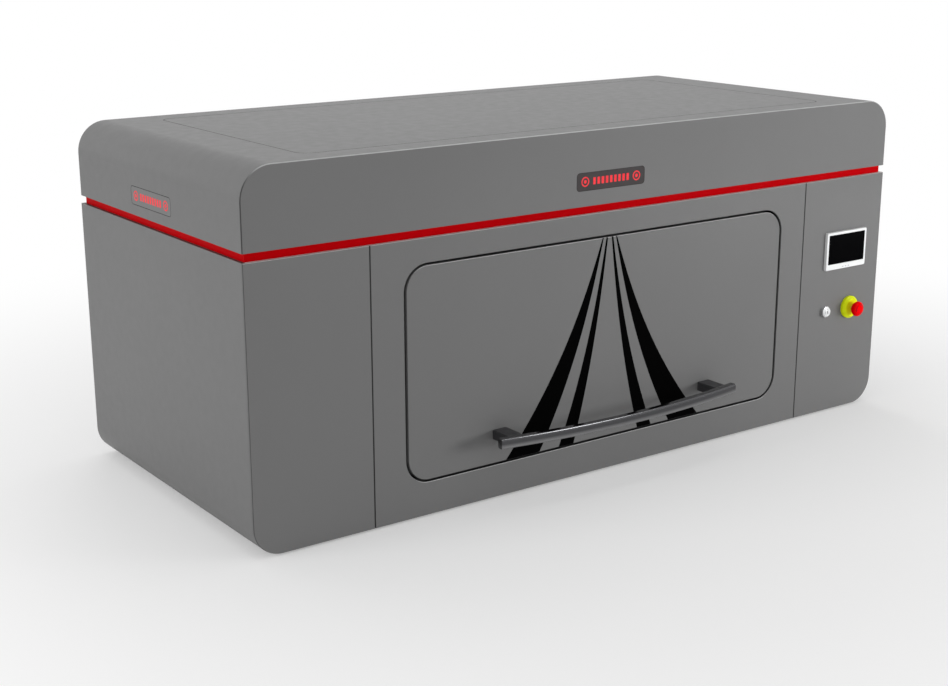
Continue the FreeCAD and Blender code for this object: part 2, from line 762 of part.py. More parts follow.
def screen_slab(grow, depth):
    """The screen's slab, which ends at the floor of its recess in the bezel."""
    x = about(SCREEN_X, SCREEN_WIDTH / 2 - BEZEL_SIDE + grow)
    z = (SCREEN_Z - SCREEN_HEIGHT / 2 + BEZEL_FOOT - grow, SCREEN_Z + SCREEN_HEIGHT / 2 - BEZEL_SIDE + grow)
    floor = FRONT - SCREEN_PROUD + SCREEN_SUNK + SCREEN_THICK
    return slab("y", x, z, (floor - depth, floor), SCREEN_CORNER)


def display_screen():
    return screen_slab(0.0, SCREEN_THICK)


def turned(profile, x, z, y0):
    """A body turned about an axis along Y; the profile holds (radius, depth from y0) points."""
    points = [FreeCAD.Vector(x + radius, y0 + depth, z) for radius, depth in profile]
    face = Part.Face(Part.makePolygon(points + points[:1]))
    return face.revolve(FreeCAD.Vector(x, 0, z), FreeCAD.Vector(0, 1, 0), 360)


def stop_collar():
    bore = STEM_RADIUS + RUNNING_FIT
    end = COLLAR_PROUD + BARREL_LENGTH
    profile = [(bore, 0.0), (COLLAR_RADIUS - COLLAR_SLOPE, 0.0), (COLLAR_RADIUS, COLLAR_SHOULDER),
               (COLLAR_RADIUS, COLLAR_PROUD), (BARREL_RADIUS, COLLAR_PROUD),
               (BARREL_RADIUS, end), (bore, end)]
    return turned(profile, STOP_X, CONTROL_Z, FRONT - COLLAR_PROUD)


def stop_stem():
    """The stem slides in the collar; a narrower spigot at its front carries the head."""
    seat = FRONT - COLLAR_PROUD - STOP_LIFT
    return fuse(rod("y", STOP_X, CONTROL_Z, (seat, FRONT - COLLAR_PROUD + STEM_BEHIND), STEM_RADIUS),
                rod("y", STOP_X, CONTROL_Z, (seat - SPIGOT_LENGTH, seat), SPIGOT_RADIUS))


def stop_button():
    """The mushroom head, which turns on the stem's spigot to release it."""
    top = FRONT - COLLAR_PROUD - STOP_LIFT - STOP_HEIGHT
    bore = SPIGOT_RADIUS + RUNNING_FIT
    depth = STOP_HEIGHT - SPIGOT_LENGTH - SIDE_PLAY
    shares = ((0.0, 0.0), (0.5, 0.03), (0.8, 0.13), (0.96, 0.35), (1.0, 0.55), (0.9, 0.7), (0.7, 1.0))
    profile = [(across * STOP_RADIUS, back * STOP_HEIGHT) for across, back in shares]
    profile += [(bore, STOP_HEIGHT), (bore, depth), (0.0, depth)]
    return turned(profile, STOP_X, CONTROL_Z, top)


def key_collar():
    bore = KEY_CORE_RADIUS + RUNNING_FIT
    end = KEY_PROUD + KEY_BARREL
    profile = [(bore, 0.0), (KEY_RADIUS - KEY_BEVEL, 0.0), (KEY_RADIUS, KEY_BEVEL), (KEY_RADIUS, KEY_PROUD),
               (KEY_BARREL_RADIUS, KEY_PROUD), (KEY_BARREL_RADIUS, end), (bore, end)]
    return turned(profile, KEY_X, CONTROL_Z, FRONT - KEY_PROUD)


def key_core():
    y = (FRONT - KEY_PROUD - KEY_CORE_PROUD, FRONT + KEY_CORE_BEHIND)
    core = rod("y", KEY_X, CONTROL_Z, y, KEY_CORE_RADIUS)
    keyhole = slab("y", about(KEY_X, KEYHOLE_HALF_WIDTH), about(CONTROL_Z, KEYHOLE_HALF_HEIGHT),
                   (y[0] - CUT_MARGIN, y[0] + KEYHOLE_DEPTH), KEYHOLE_ROUND)
    return core.cut(keyhole)


# The door: skin with inlays, shielding tray, handle and hinge arms
def door_outline(shrink, y):
    """The door's rounded outline, shrunk on every side, between two depths."""
    return slab("y", about(0.0, DOOR_HALF_WIDTH - shrink), (DOOR_BOTTOM + shrink, DOOR_TOP - shrink),
                y, DOOR_RADIUS - shrink)


def door_block():
    """The door's outer form as a full block with its front edge rounded."""
    return soften(door_outline(0.0, (FRONT, BRIM_BACK)), DOOR_ROUND, lambda edge: lies_on(edge, "y", FRONT))


def stripe_edge(top, foot):
    """A curve down the door: part straight slope, part power curve, so that it flares outwards."""
    points = []
    for step in range(STRIPE_STEPS + 1):
        share = step / STRIPE_STEPS
        flare = STRIPE_STRAIGHT * share + (1 - STRIPE_STRAIGHT) * share ** STRIPE_POWER
        z = DOOR_TOP - (DOOR_TOP - DOOR_BOTTOM) * share
        points.append(FreeCAD.Vector(top + (foot - top) * flare, FRONT, z))
    curve = Part.BSplineCurve()
    curve.interpolate(points)
    return curve.toShape()


def stripe(tops, feet):
    """An inlay between two such curves, let into the door's front face."""
    outer, inner = [stripe_edge(top, foot) for top, foot in zip(tops, feet)]
    ends = []
    for index in (0, 1):
        ends.append(Part.LineSegment(outer.Vertexes[index].Point, inner.Vertexes[index].Point).toShape())
    wire = Part.Wire(Part.__sortEdges__([outer, ends[1], inner, ends[0]]))
    return Part.Face(wire).extrude(FreeCAD.Vector(0, INLAY_DEPTH, 0))


def door_stripes():
    """Two pairs of inlays; their ends follow the door's rounded edges."""
    block = door_block()
    stripes = []
    for tops, feet in ((OUTER_STRIPE_TOP, OUTER_STRIPE_FOOT), (INNER_STRIPE_TOP, INNER_STRIPE_FOOT)):
        right = stripe(tops, feet).common(block).Solids[0]
        stripes += [mirror(right), right]
    return Part.makeCompound(stripes)


def door_skin():
    hollow = door_outline(DOOR_SKIN, (FRONT + DOOR_SKIN, BRIM_BACK + CUT_MARGIN))
    return door_block().cut(hollow).cut(door_stripes())


def tray_outline(shrink, y):
    x = CHAMBER_HALF_WIDTH - TRAY_CLEARANCE - shrink
    z = (CHAMBER_FLOOR + TRAY_CLEARANCE + shrink, CHAMBER_CEILING - TRAY_CLEARANCE - shrink)
    return slab("y", (-x, x), z, y, TRAY_RADIUS - shrink)


def door_tray():
    """The shielding tray: a brim behind the whole skin and a shallow box that enters the chamber."""
    brim_front = BRIM_BACK - DOOR_BRIM
    brim = door_outline(DOOR_SKIN + SIDE_PLAY, (brim_front, BRIM_BACK))
    tray = fuse(brim, tray_outline(0.0, (BRIM_BACK, TRAY_BACK)))
    return tray.cut(tray_outline(TRAY_WALL, (brim_front - CUT_MARGIN, TRAY_BACK - TRAY_WALL)))


def arc_radius():
    """The radius of the handle's centre line, from its half length and its bow."""
    return (HANDLE_HALF_LENGTH ** 2 + HANDLE_BOW ** 2) / (2 * HANDLE_BOW)


def handle_bar():
    """A flat bar with rounded edges, bent to a shallow arc."""
    middle = FRONT - HANDLE_STANDOFF - HANDLE_BOW
    depth = about(middle, BAR_DEPTH / 2)
    section = slab("x", depth, about(HANDLE_HEIGHT, BAR_HEIGHT / 2), (0.0, 1.0), BAR_ROUND)
    face = [face for face in section.Faces if lies_on(face, "x", 0.0)][0]
    centre = FreeCAD.Vector(0, middle + arc_radius(), 0)
    half_angle = degrees(asin(HANDLE_HALF_LENGTH / arc_radius()))
    face.rotate(centre, FreeCAD.Vector(0, 0, 1), -half_angle)
    return face.revolve(centre, FreeCAD.Vector(0, 0, 1), 2 * half_angle)


def handle_posts(bar):
    """Posts that end against the back of the bar."""
    inside_bar = FRONT - HANDLE_STANDOFF - BAR_DEPTH / 4
    post = slab("y", about(POST_X, POST_WIDTH / 2), about(HANDLE_HEIGHT, POST_HEIGHT / 2),
                (inside_bar, FRONT), POST_ROUND).cut(bar)
    return pair(max(post.Solids, key=lambda solid: solid.Volume))


def hinge_arms():
    """Gooseneck arms: from the pivot back, down behind the panel's lip and forward to the door."""
    x = about(ARM_X, ARM_WIDTH / 2)
    reach = AXIS_Y + ARM_REACH
    inner = reach - ARM_THICK
    low = AXIS_Z - ARM_DROP
    leg = outline("x", [(AXIS_Y, AXIS_Z + ARM_WEB), (reach, AXIS_Z + ARM_WEB), (reach, low), (BRIM_BACK, low),
                        (BRIM_BACK, low + ARM_THICK), (inner, low + ARM_THICK), (inner, AXIS_Z - ARM_WEB),
                        (AXIS_Y, AXIS_Z - ARM_WEB)], x)
    corners = ((reach, AXIS_Z + ARM_WEB), (reach, low), (inner, AXIS_Z - ARM_WEB))
    leg = soften(leg, ARM_BEND, lambda edge: any(
        lies_on(edge, "y", y) and lies_on(edge, "z", z) for y, z in corners))
    foot = box(about(ARM_X, ARM_FOOT_WIDTH / 2), (BRIM_BACK, BRIM_BACK + ARM_FOOT_THICK),
               (low - ARM_FOOT_DROP, low + ARM_THICK))
    hub = rod("x", AXIS_Y, AXIS_Z, x, HUB_RADIUS)
    arm = fuse(leg, foot, hub).cut(rod("x", AXIS_Y, AXIS_Z, beyond(x), PIN_RADIUS + RUNNING_FIT))
    return pair(arm)


def hinge_brackets():
    """Two cheeks on either side of each arm, from the deck and the front beam to the pivot."""
    cheeks = []
    for side in (-1, 1):
        near = ARM_X + side * (ARM_WIDTH / 2 + SIDE_PLAY)
        x = sorted((near, near + side * CHEEK))
        cheek = fuse(box(x, (AXIS_Y, FRONT + BEAM_BEHIND), (AXIS_Z - CHEEK_DROP, DECK_BOTTOM)),
                     rod("x", AXIS_Y, AXIS_Z, x, HUB_RADIUS),
                     box(x, (AXIS_Y - HUB_RADIUS, AXIS_Y), (AXIS_Z, DECK_BOTTOM)))
        cheeks.append(cheek.cut(rod("x", AXIS_Y, AXIS_Z, beyond(x), PIN_RADIUS + RUNNING_FIT)))
    return Part.makeCompound(cheeks + [mirror(cheek) for cheek in cheeks])


def hinge_pins():
    reach = ARM_WIDTH / 2 + SIDE_PLAY + CHEEK + PIN_END
    pin = rod("x", AXIS_Y, AXIS_Z, about(ARM_X, reach), PIN_RADIUS)
    pin = pin.makeChamfer(PIN_CHAMFER, [edge for edge in pin.Edges if edge.Closed])
    return pair(pin)


# The gas struts: modelled upright from the frame's pivot, then turned into place
def strut_place(shape):
    """Turn an upright shape so that its axis runs from the frame's pivot to the door's."""
    dy = STRUT_DOOR_Y - STRUT_BASE_Y
    dz = STRUT_DOOR_Z - STRUT_BASE_Z
    shape.rotate(FreeCAD.Vector(0, 0, 0), FreeCAD.Vector(1, 0, 0), -degrees(atan2(dy, dz)))
    shape.translate(FreeCAD.Vector(STRUT_X, AXIS_Y + STRUT_BASE_Y, AXIS_Z + STRUT_BASE_Z))
    return pair(shape)


def strut_length():
    return hypot(STRUT_DOOR_Y - STRUT_BASE_Y, STRUT_DOOR_Z - STRUT_BASE_Z)


def upright(radius, low, high):
    """A cylinder on the strut's axis between two heights."""
    return Part.makeCylinder(radius, high - low, FreeCAD.Vector(0, 0, low))


def eye(height):
    return rod("x", 0.0, height, about(0.0, STRUT_EYE_WIDTH / 2), STRUT_EYE_RADIUS)


def strut_cylinders():
    top = strut_length() - STRUT_EXPOSED
    neck = upright(STRUT_ROD_RADIUS, STUD_RADIUS, STRUT_NECK + STUD_RADIUS)
    body = fuse(upright(STRUT_RADIUS, STRUT_NECK, top), neck, eye(0.0))
    body = body.cut(upright(STRUT_RADIUS - STRUT_WALL, STRUT_NECK + STRUT_FLOOR, top - STRUT_GLAND))
    body = body.cut(upright(STRUT_ROD_RADIUS + RUNNING_FIT, top - STRUT_GLAND - CUT_MARGIN, top + CUT_MARGIN))
    body = body.cut(rod("x", 0.0, 0.0, beyond(about(0.0, STRUT_EYE_WIDTH / 2)), STUD_RADIUS + RUNNING_FIT))
    return strut_place(body)


def strut_rods():
    length = strut_length()
    piston = upright(STRUT_RADIUS - STRUT_WALL - PISTON_FIT, PISTON_AT, PISTON_AT + STRUT_PISTON)
    stud_end = STRUT_EYE_WIDTH / 2 + BRACKET_GAP - OPEN_PIVOT_GAP
    stud = rod("x", 0.0, length, (0.0, stud_end), STUD_RADIUS)
    shaft = upright(STRUT_ROD_RADIUS, PISTON_AT + SHAFT_LAP, length - SHAFT_LAP)
    return strut_place(fuse(shaft, piston, eye(length), stud))


def strut_anchors():
    """Lugs welded to the front posts, with the studs that the cylinders turn on."""
    y = AXIS_Y + STRUT_BASE_Y
    z = AXIS_Z + STRUT_BASE_Z
    near = STRUT_X - STRUT_EYE_WIDTH / 2 - STUD_END
    outer = STRUT_X + STRUT_EYE_WIDTH / 2 + SIDE_PLAY
    plate = slab("x", (FRONT + POST_FRONT + LUG_INSET, y + LUG_REACH), about(z, LUG_REACH),
                 (POST_INNER - LUG_THICK, POST_INNER), (0, PLATE_RADIUS, PLATE_RADIUS, 0))
    boss = rod("x", y, z, (outer, POST_INNER - LUG_THICK), BOSS_RADIUS)
    lug = fuse(plate, boss, rod("x", y, z, (near, outer), STUD_RADIUS))
    return [lug, mirror(lug)]


def strut_brackets():
    """Plates on the door's brim; each rod's stud ends a small gap short of its plate."""
    x = STRUT_X + STRUT_EYE_WIDTH / 2 + BRACKET_GAP
    y = AXIS_Y + STRUT_DOOR_Y
    plate = slab("x", (BRIM_BACK, y + BRACKET_REACH), about(AXIS_Z + STRUT_DOOR_Z, BRACKET_HALF),
                 (x, x + STRUT_BRACKET), (0, PLATE_RADIUS, PLATE_RADIUS, 0))
    return [plate, mirror(plate)]


# The frame of square tubes
def tube(axis, a, b, c):
    """A square tube with open ends along the named axis; a and b are its lower corner."""
    outer = slab(axis, (a, a + TUBE), (b, b + TUBE), c, TUBE_ROUND)
    wall = (TUBE_WALL, TUBE - TUBE_WALL)
    inner = slab(axis, (a + wall[0], a + wall[1]), (b + wall[0], b + wall[1]), beyond(c))
    return outer.cut(inner)


def frame_tubes():
    front_post = FRONT + POST_FRONT
    beam = FRONT + BEAM_BEHIND
    high = DECK_BOTTOM - TUBE
    low = CHAMBER_FLOOR - SHIELD - TUBE
    span = (-POST_INNER, POST_INNER)
    tubes = [tube("x", beam, high, (-POST_OUTER, POST_OUTER)), tube("x", REAR_POST, high, span)]
    for y in (front_post, CHAMBER_BACK - LOW_BEAM_REAR):
        tubes.append(tube("x", y, low, span))
    for x in (POST_INNER, -POST_OUTER):
        for y in (front_post, REAR_POST):
            tubes.append(tube("z", x, y, (BASE_TOP, DECK_BOTTOM)))
        tubes.append(tube("y", x, high, (beam + TUBE, REAR_POST)))
        tubes.append(tube("y", x, low, (front_post + TUBE, REAR_POST)))
    return Part.makeCompound(tubes + strut_anchors())


# The shielded chamber
def chamber_plate(name):
    outer = CHAMBER_HALF_WIDTH + SHIELD
    y = (CHAMBER_FRONT, CHAMBER_BACK)
    if name == "floor":
        return box((-outer, outer), y, (CHAMBER_FLOOR - SHIELD, CHAMBER_FLOOR))
    if name == "ceiling":
        z = (CHAMBER_CEILING, CHAMBER_CEILING + SHIELD)
        return box((-outer, outer), y, z).cut(rod("z", 0.0, STAGE_Y, beyond(z), TUBE_RADIUS + CEILING_PASS))
    if name == "back":
        z = (CHAMBER_FLOOR - SHIELD, CHAMBER_CEILING + SHIELD)
        return box((-outer, outer), (CHAMBER_BACK, CHAMBER_BACK + SHIELD), z)
    return pair(box((CHAMBER_HALF_WIDTH, outer), y, (CHAMBER_FLOOR, CHAMBER_CEILING)))


def opening_seal():
    """A gasket on the front edges of the chamber's plates."""
    y = (BRIM_BACK + SEAL_GAP, CHAMBER_FRONT)
    edge = (SHIELD - SEAL_WIDTH) / 2
    rings = []
    for grow in (SHIELD - edge, edge):
        x = CHAMBER_HALF_WIDTH + grow
        rings.append(slab("y", (-x, x), (CHAMBER_FLOOR - grow, CHAMBER_CEILING + grow), y))
    return rings[0].cut(rings[1])


def interlock_sensors():
    z = CHAMBER_CEILING + SHIELD
    y = BRIM_BACK + SENSOR_GAP
    depth = (y, y + SENSOR_DEPTH)
    return pair(slab("z", about(SENSOR_X, SENSOR_LENGTH / 2), depth, (z, z + SENSOR_HEIGHT), SENSOR_CORNER))


# The stage in the chamber
def rail_section(axis, across, foot, length):
    """A guide rail with a waist, centred across at its foot, along the named axis."""
    half = RAIL_WIDTH / 2
    waist = RAIL_WAIST / 2
    top = foot + RAIL_HEIGHT
    levels = (foot, foot + RAIL_LOWER, foot + RAIL_LOWER + RAIL_BEVEL,
              top - RAIL_LOWER - RAIL_BEVEL, top - RAIL_LOWER, top)
    right = list(zip((half, half, waist, waist, half, half), levels))
    left = [(-a, b) for a, b in reversed(right)]
    return outline(axis, [(across + a, b) for a, b in right + left], length)


def block_section(axis, across, foot, length):
    """A guide block that straddles a rail with a small clearance."""
    z = (foot + RAIL_FOOT_GAP, foot + RAIL_HEIGHT + BLOCK_CROWN)
    block = slab(axis, about(across, BLOCK_WIDTH / 2), z, length, BLOCK_CORNER)
    slot = slab(axis, about(across, RAIL_WIDTH / 2 + BLOCK_CLEARANCE),
                (foot, foot + RAIL_HEIGHT + BLOCK_CLEARANCE), beyond(length))
    return block.cut(slot)


def stage_base():
    z = (CHAMBER_FLOOR, Y_RAIL_FOOT)
    plate = slab("z", about(0.0, STAGE_BASE_HALF_X), about(STAGE_Y, STAGE_BASE_HALF_Y), z, PLATE_CORNER)
    track_y = about(STAGE_Y, STAGE_BASE_HALF_Y - TRACK_INSET)
    track = box(about(0.0, TRACK_HALF), track_y, (z[1], z[1] + TRACK_HEIGHT))
    return fuse(plate, track)


def y_rails():
    length = about(STAGE_Y, STAGE_BASE_HALF_Y - RAIL_END)
    return Part.makeCompound([rail_section("y", x, Y_RAIL_FOOT, length) for x in (-Y_RAIL_X, Y_RAIL_X)])


def carriage(axis, across_pair, middle, foot, half_length):
    """Four guide blocks: two on each of two rails, at the ends of a plate."""
    blocks = []
    for across in across_pair:
        for start in (middle - half_length, middle + half_length - BLOCK_LENGTH):
            blocks.append(block_section(axis, across, foot, (start, start + BLOCK_LENGTH)))
    return blocks


def y_carriage():
    plate = slab("z", about(0.0, STAGE_BASE_HALF_X), about(STAGE_Y, CARRIAGE_HALF_Y),
                 (Y_PLATE_FOOT, X_RAIL_FOOT), PLATE_CORNER)
    forcer = box(about(0.0, FORCER_HALF), about(STAGE_Y, FORCER_HALF_LENGTH),
                 (Y_RAIL_FOOT + TRACK_HEIGHT + FORCER_GAP, Y_PLATE_FOOT))
    blocks = carriage("y", (-Y_RAIL_X, Y_RAIL_X), STAGE_Y, Y_RAIL_FOOT, CARRIAGE_HALF_Y)
    return Part.makeCompound([plate, forcer] + blocks)


def x_rails():
    """Two rails with the magnet track of the X motor between them."""
    length = about(0.0, STAGE_BASE_HALF_X - X_RAIL_END)
    rails = [rail_section("x", STAGE_Y + y, X_RAIL_FOOT, length) for y in (-X_RAIL_Y, X_RAIL_Y)]
    rails.append(box(length, about(STAGE_Y, FORCER_HALF), (X_RAIL_FOOT, X_RAIL_FOOT + TRACK_HEIGHT)))
    return Part.makeCompound(rails)


def x_carriage():
    depth = about(STAGE_Y, X_RAIL_Y + BLOCK_WIDTH / 2 + X_PLATE_LAP)
    plate = slab("z", about(0.0, X_PLATE_HALF), depth, (X_PLATE_FOOT, COLUMN_FOOT), PLATE_CORNER)
    forcer = box(about(0.0, FORCER_HALF_LENGTH), about(STAGE_Y, FORCER_HALF),
                 (X_RAIL_FOOT + TRACK_HEIGHT + FORCER_GAP, X_PLATE_FOOT))
    blocks = carriage("x", (STAGE_Y - X_RAIL_Y, STAGE_Y + X_RAIL_Y), 0.0, X_RAIL_FOOT, X_PLATE_HALF)
    return Part.makeCompound([plate, forcer] + blocks)


def lift_column():
    z = (COLUMN_FOOT, COLUMN_TOP)
    flange = (z[0], z[0] + COLUMN_FLANGE_THICK)
    column = fuse(rod("z", 0.0, STAGE_Y, z, COLUMN_RADIUS),
                  rod("z", 0.0, STAGE_Y, flange, COLUMN_RADIUS + COLUMN_FLANGE))
    return column.cut(rod("z", 0.0, STAGE_Y, beyond(z), RAM_RADIUS + RUNNING_FIT))


def lift_ram():
    return rod("z", 0.0, STAGE_Y, (COLUMN_FOOT + SIDE_PLAY, TABLE_FOOT), RAM_RADIUS)


def sample_table():
    """A thick plate with three T-slots along its top."""
    x = about(0.0, TABLE_HALF_X)
    table = slab("z", x, about(STAGE_Y, TABLE_HALF_Y), (TABLE_FOOT, TABLE_TOP), PLATE_CORNER)
    bottom = TABLE_TOP - T_SLOT_DEPTH
    for row in (-1, 0, 1):
        middle = STAGE_Y + row * T_SLOT_SPACING
        table = table.cut(box(beyond(x), about(middle, T_SLOT_MOUTH / 2), (bottom, TABLE_TOP + CUT_MARGIN)))
        table = table.cut(box(beyond(x), about(middle, T_SLOT_WIDTH / 2), (bottom, bottom + T_SLOT_FLOOR)))
    return table


# The measuring head over the table
def head_bracket():
    """A back plate hung from the ceiling with a shelf that holds the tube."""
    back_y = STAGE_Y + HEAD_BACK
    width = about(0.0, HEAD_HALF_WIDTH)
    z = (SHELF_Z, SHELF_Z + HEAD_SHELF)
    back = slab("y", width, (FOCUS_Z + HEAD_LOW, CHAMBER_CEILING), (back_y, back_y + HEAD_PLATE),
                (HEAD_CORNER, HEAD_CORNER, 0, 0))
    shelf = box(about(0.0, SHELF_HALF_WIDTH), (STAGE_Y - SHELF_REACH, back_y), z)
    top = box(width, (back_y - HEAD_PLATE, back_y - HEAD_PLATE + HEAD_TOP_DEPTH),
              (CHAMBER_CEILING - HEAD_TOP_THICK, CHAMBER_CEILING))
    return fuse(back, shelf, top).cut(rod("z", 0.0, STAGE_Y, beyond(z), OPTIC_BORE))


def xray_tube():
    foot = SHELF_Z + HEAD_SHELF
    body = rod("z", 0.0, STAGE_Y, (foot, TUBE_TOP), TUBE_RADIUS)
    flange = rod("z", 0.0, STAGE_Y, (foot, foot + TUBE_FLANGE_THICK), TUBE_RADIUS + TUBE_FLANGE)
    socket = rod("z", 0.0, STAGE_Y, (TUBE_TOP, TUBE_TOP + TUBE_SOCKET_HEIGHT), TUBE_SOCKET_RADIUS)
    return fuse(body, flange, socket)


def capillary_optic():
    """A stepped holder that narrows to the capillary's tip just above the table."""
    top = SHELF_Z + HEAD_SHELF
    spigot = OPTIC_BORE - OPTIC_FIT
    collar = SHELF_Z - OPTIC_COLLAR_HEIGHT
    taper_top = OPTIC_TIP + OPTIC_TAPER_LENGTH
    stages = [(0.0, OPTIC_TIP), (OPTIC_TIP_RADIUS, OPTIC_TIP), (OPTIC_TAPER, taper_top),
              (OPTIC_BODY, taper_top + OPTIC_STEP), (OPTIC_BODY, collar), (OPTIC_COLLAR, collar),
              (OPTIC_COLLAR, SHELF_Z), (spigot, SHELF_Z), (spigot, top), (0.0, top)]
    points = [FreeCAD.Vector(radius, STAGE_Y, z) for radius, z in stages]
    face = Part.Face(Part.makePolygon(points + points[:1]))
    return face.revolve(FreeCAD.Vector(0, STAGE_Y, 0), FreeCAD.Vector(0, 0, 1), 360)


def aim(shape, azimuth, elevation):
    """Turn a shape built along +X from the origin so that it looks down at the focal point."""
    shape.rotate(FreeCAD.Vector(0, 0, 0), FreeCAD.Vector(0, 1, 0), -elevation)
    shape.rotate(FreeCAD.Vector(0, 0, 0), FreeCAD.Vector(0, 0, 1), azimuth)
    shape.translate(FreeCAD.Vector(0, STAGE_Y, FOCUS_Z))
    return shape


def detectors():
    """Two silicon drift detectors, each a snout on a finned box held by the back plate."""
    half = DETECTOR_HALF
    body = slab("x", about(0.0, half), about(0.0, half), (DETECTOR_NEAR, DETECTOR_FAR), DETECTOR_CORNER)
    for fin in range(FIN_COUNT):
        start = DETECTOR_NEAR + FIN_START + FIN_SPACING * fin
        groove = (start, start + FIN_GROOVE)
        ring = slab("x", about(0.0, half + CUT_MARGIN), about(0.0, half + CUT_MARGIN), groove)
        core = slab("x", about(0.0, half - FIN_DEPTH), about(0.0, half - FIN_DEPTH), groove)
        body = body.cut(ring.cut(core))
    collar = DETECTOR_NEAR - SNOUT_COLLAR
    snout = fuse(rod("x", 0.0, 0.0, (SNOUT_NEAR, collar), SNOUT_RADIUS),
                 rod("x", 0.0, 0.0, (collar, DETECTOR_NEAR), SNOUT_COLLAR_RADIUS))
    arm = box(DETECTOR_ARM, (half - DETECTOR_ARM_LAP, HEAD_BACK), about(0.0, DETECTOR_ARM_WIDTH / 2))
    return pair(aim(fuse(body, snout, arm), 0.0, DETECTOR_ANGLE))


def cameras():
    """Two cameras that look at the same spot from the front, hung from the shelf."""
    solids = []
    away = CAMERA_HUNG_AT * cos(radians(CAMERA_ANGLE))
    height = FOCUS_Z + CAMERA_HUNG_AT * sin(radians(CAMERA_ANGLE))
    for azimuth in (-90.0 - CAMERA_SPREAD, -90.0 + CAMERA_SPREAD):
        barrel = fuse(rod("x", 0.0, 0.0, (CAMERA_NEAR, CAMERA_STEP), LENS_RADIUS),
                      rod("x", 0.0, 0.0, (CAMERA_STEP, CAMERA_FAR), CAMERA_RADIUS))
        barrel = aim(barrel, azimuth, CAMERA_ANGLE)
        x = away * cos(radians(azimuth))
        y = STAGE_Y + away * sin(radians(azimuth))
        solids.append(fuse(barrel, rod("z", x, y, (height, SHELF_Z), HANGER_RADIUS)))
    return Part.makeCompound(solids)


# Supplies in the side bays
def hv_generator():
    """The generator's ribbed box in the left bay, with its cable socket on top."""
    x = (-BAY[1], -BAY[0])
    y = (FRONT + BAY_FRONT, BACK - GENERATOR_REAR)
    body = slab("z", x, y, (BASE_TOP, GENERATOR_TOP), GENERATOR_CORNER)
    pitch = (y[1] - y[0] - 2 * GROOVE_MARGIN) / GROOVE_COUNT
    for groove in range(GROOVE_COUNT):
        start = y[0] + GROOVE_MARGIN + pitch * groove + pitch / 4
        body = body.cut(box((x[0] - CUT_MARGIN, x[0] + GROOVE_DEPTH), (start, start + pitch / 2),
                            (GROOVE_LOW, GENERATOR_TOP - GROOVE_MARGIN)))
    socket = rod("z", (x[0] + x[1]) / 2, y[0] + CABLE_SOCKET_BEHIND,
                 (GENERATOR_TOP, GENERATOR_TOP + CABLE_SOCKET_HEIGHT), CABLE_SOCKET_RADIUS)
    return fuse(body, socket)


def control_unit():
    """The control unit's box in the right bay, with louvres in its front."""
    y = (FRONT + BAY_FRONT, BACK - UNIT_REAR)
    body = slab("z", BAY, y, (BASE_TOP, UNIT_TOP), UNIT_CORNER)
    for row in range(LOUVRE_COUNT):
        z = LOUVRE_LOW + LOUVRE_SPACING * row
        body = body.cut(box((BAY[0] + LOUVRE_MARGIN, BAY[1] - LOUVRE_MARGIN),
                            (y[0] - CUT_MARGIN, y[0] + LOUVRE_DEPTH), (z, z + LOUVRE_HEIGHT)))
    return body


# Rear equipment: fans, their guards, the mains inlet with its rocker, and the data sockets
def fan_frame():
    half = FAN_SIZE / 2
    y = (BACK - SKIN - FAN_DEPTH, BACK - SKIN)
    plate = (y[0], y[0] + FAN_PLATE)
    frame = slab("y", (-half, half), (-half, half), y, FAN_CORNER)
    frame = frame.cut(rod("y", 0.0, 0.0, beyond(y), FAN_BORE))
    hub = rod("y", 0.0, 0.0, plate, FAN_HUB)
    axle = rod("y", 0.0, 0.0, (plate[1], y[1] - FAN_NOSE - BLADE_GAP), FAN_AXLE)
    reach = about(0.0, FAN_BORE + BLADE_GAP)
    arm = about(0.0, FAN_ARM / 2)
    return fuse(frame, hub, axle, box(reach, plate, arm), box(arm, plate, reach))


def blade_section(radius, pitch, chord, middle):
    """A thin parallelogram across a blade at one radius, tipped by its pitch."""
    along = chord / 2 * cos(radians(pitch))
    rise = chord / 2 * sin(radians(pitch))
    points = []
    for end, thick in ((-1, -0.5), (1, -0.5), (1, 0.5), (-1, 0.5)):
        points.append(FreeCAD.Vector(end * along, middle + end * rise + thick * BLADE_THICK, radius))
    return Part.makePolygon(points + points[:1])


def fan_rotor():
    """A hub with pitched, twisted blades on the frame's axle."""
    y = (BACK - SKIN - FAN_DEPTH + FAN_PLATE + SIDE_PLAY, BACK - SKIN - FAN_AXLE)
    middle = (y[0] + y[1]) / 2
    root = blade_section(FAN_HUB - BLADE_THICK, ROOT_PITCH, ROOT_CHORD, middle)
    tip = blade_section(FAN_BORE, TIP_PITCH, TIP_CHORD, middle)
    blades = []
    for count in range(FAN_BLADES):
        blade = Part.makeLoft([root, tip], True, True)
        blade.rotate(FreeCAD.Vector(0, 0, 0), FreeCAD.Vector(0, 1, 0), 360.0 * count / FAN_BLADES)
        blades.append(blade)
    rotor = fuse(rod("y", 0.0, 0.0, y, FAN_HUB), *blades)
    rotor = rotor.common(rod("y", 0.0, 0.0, y, FAN_BORE - BLADE_GAP))
    return rotor.cut(rod("y", 0.0, 0.0, (y[0] - CUT_MARGIN, BACK - SKIN - FAN_NOSE), FAN_AXLE + RUNNING_FIT))


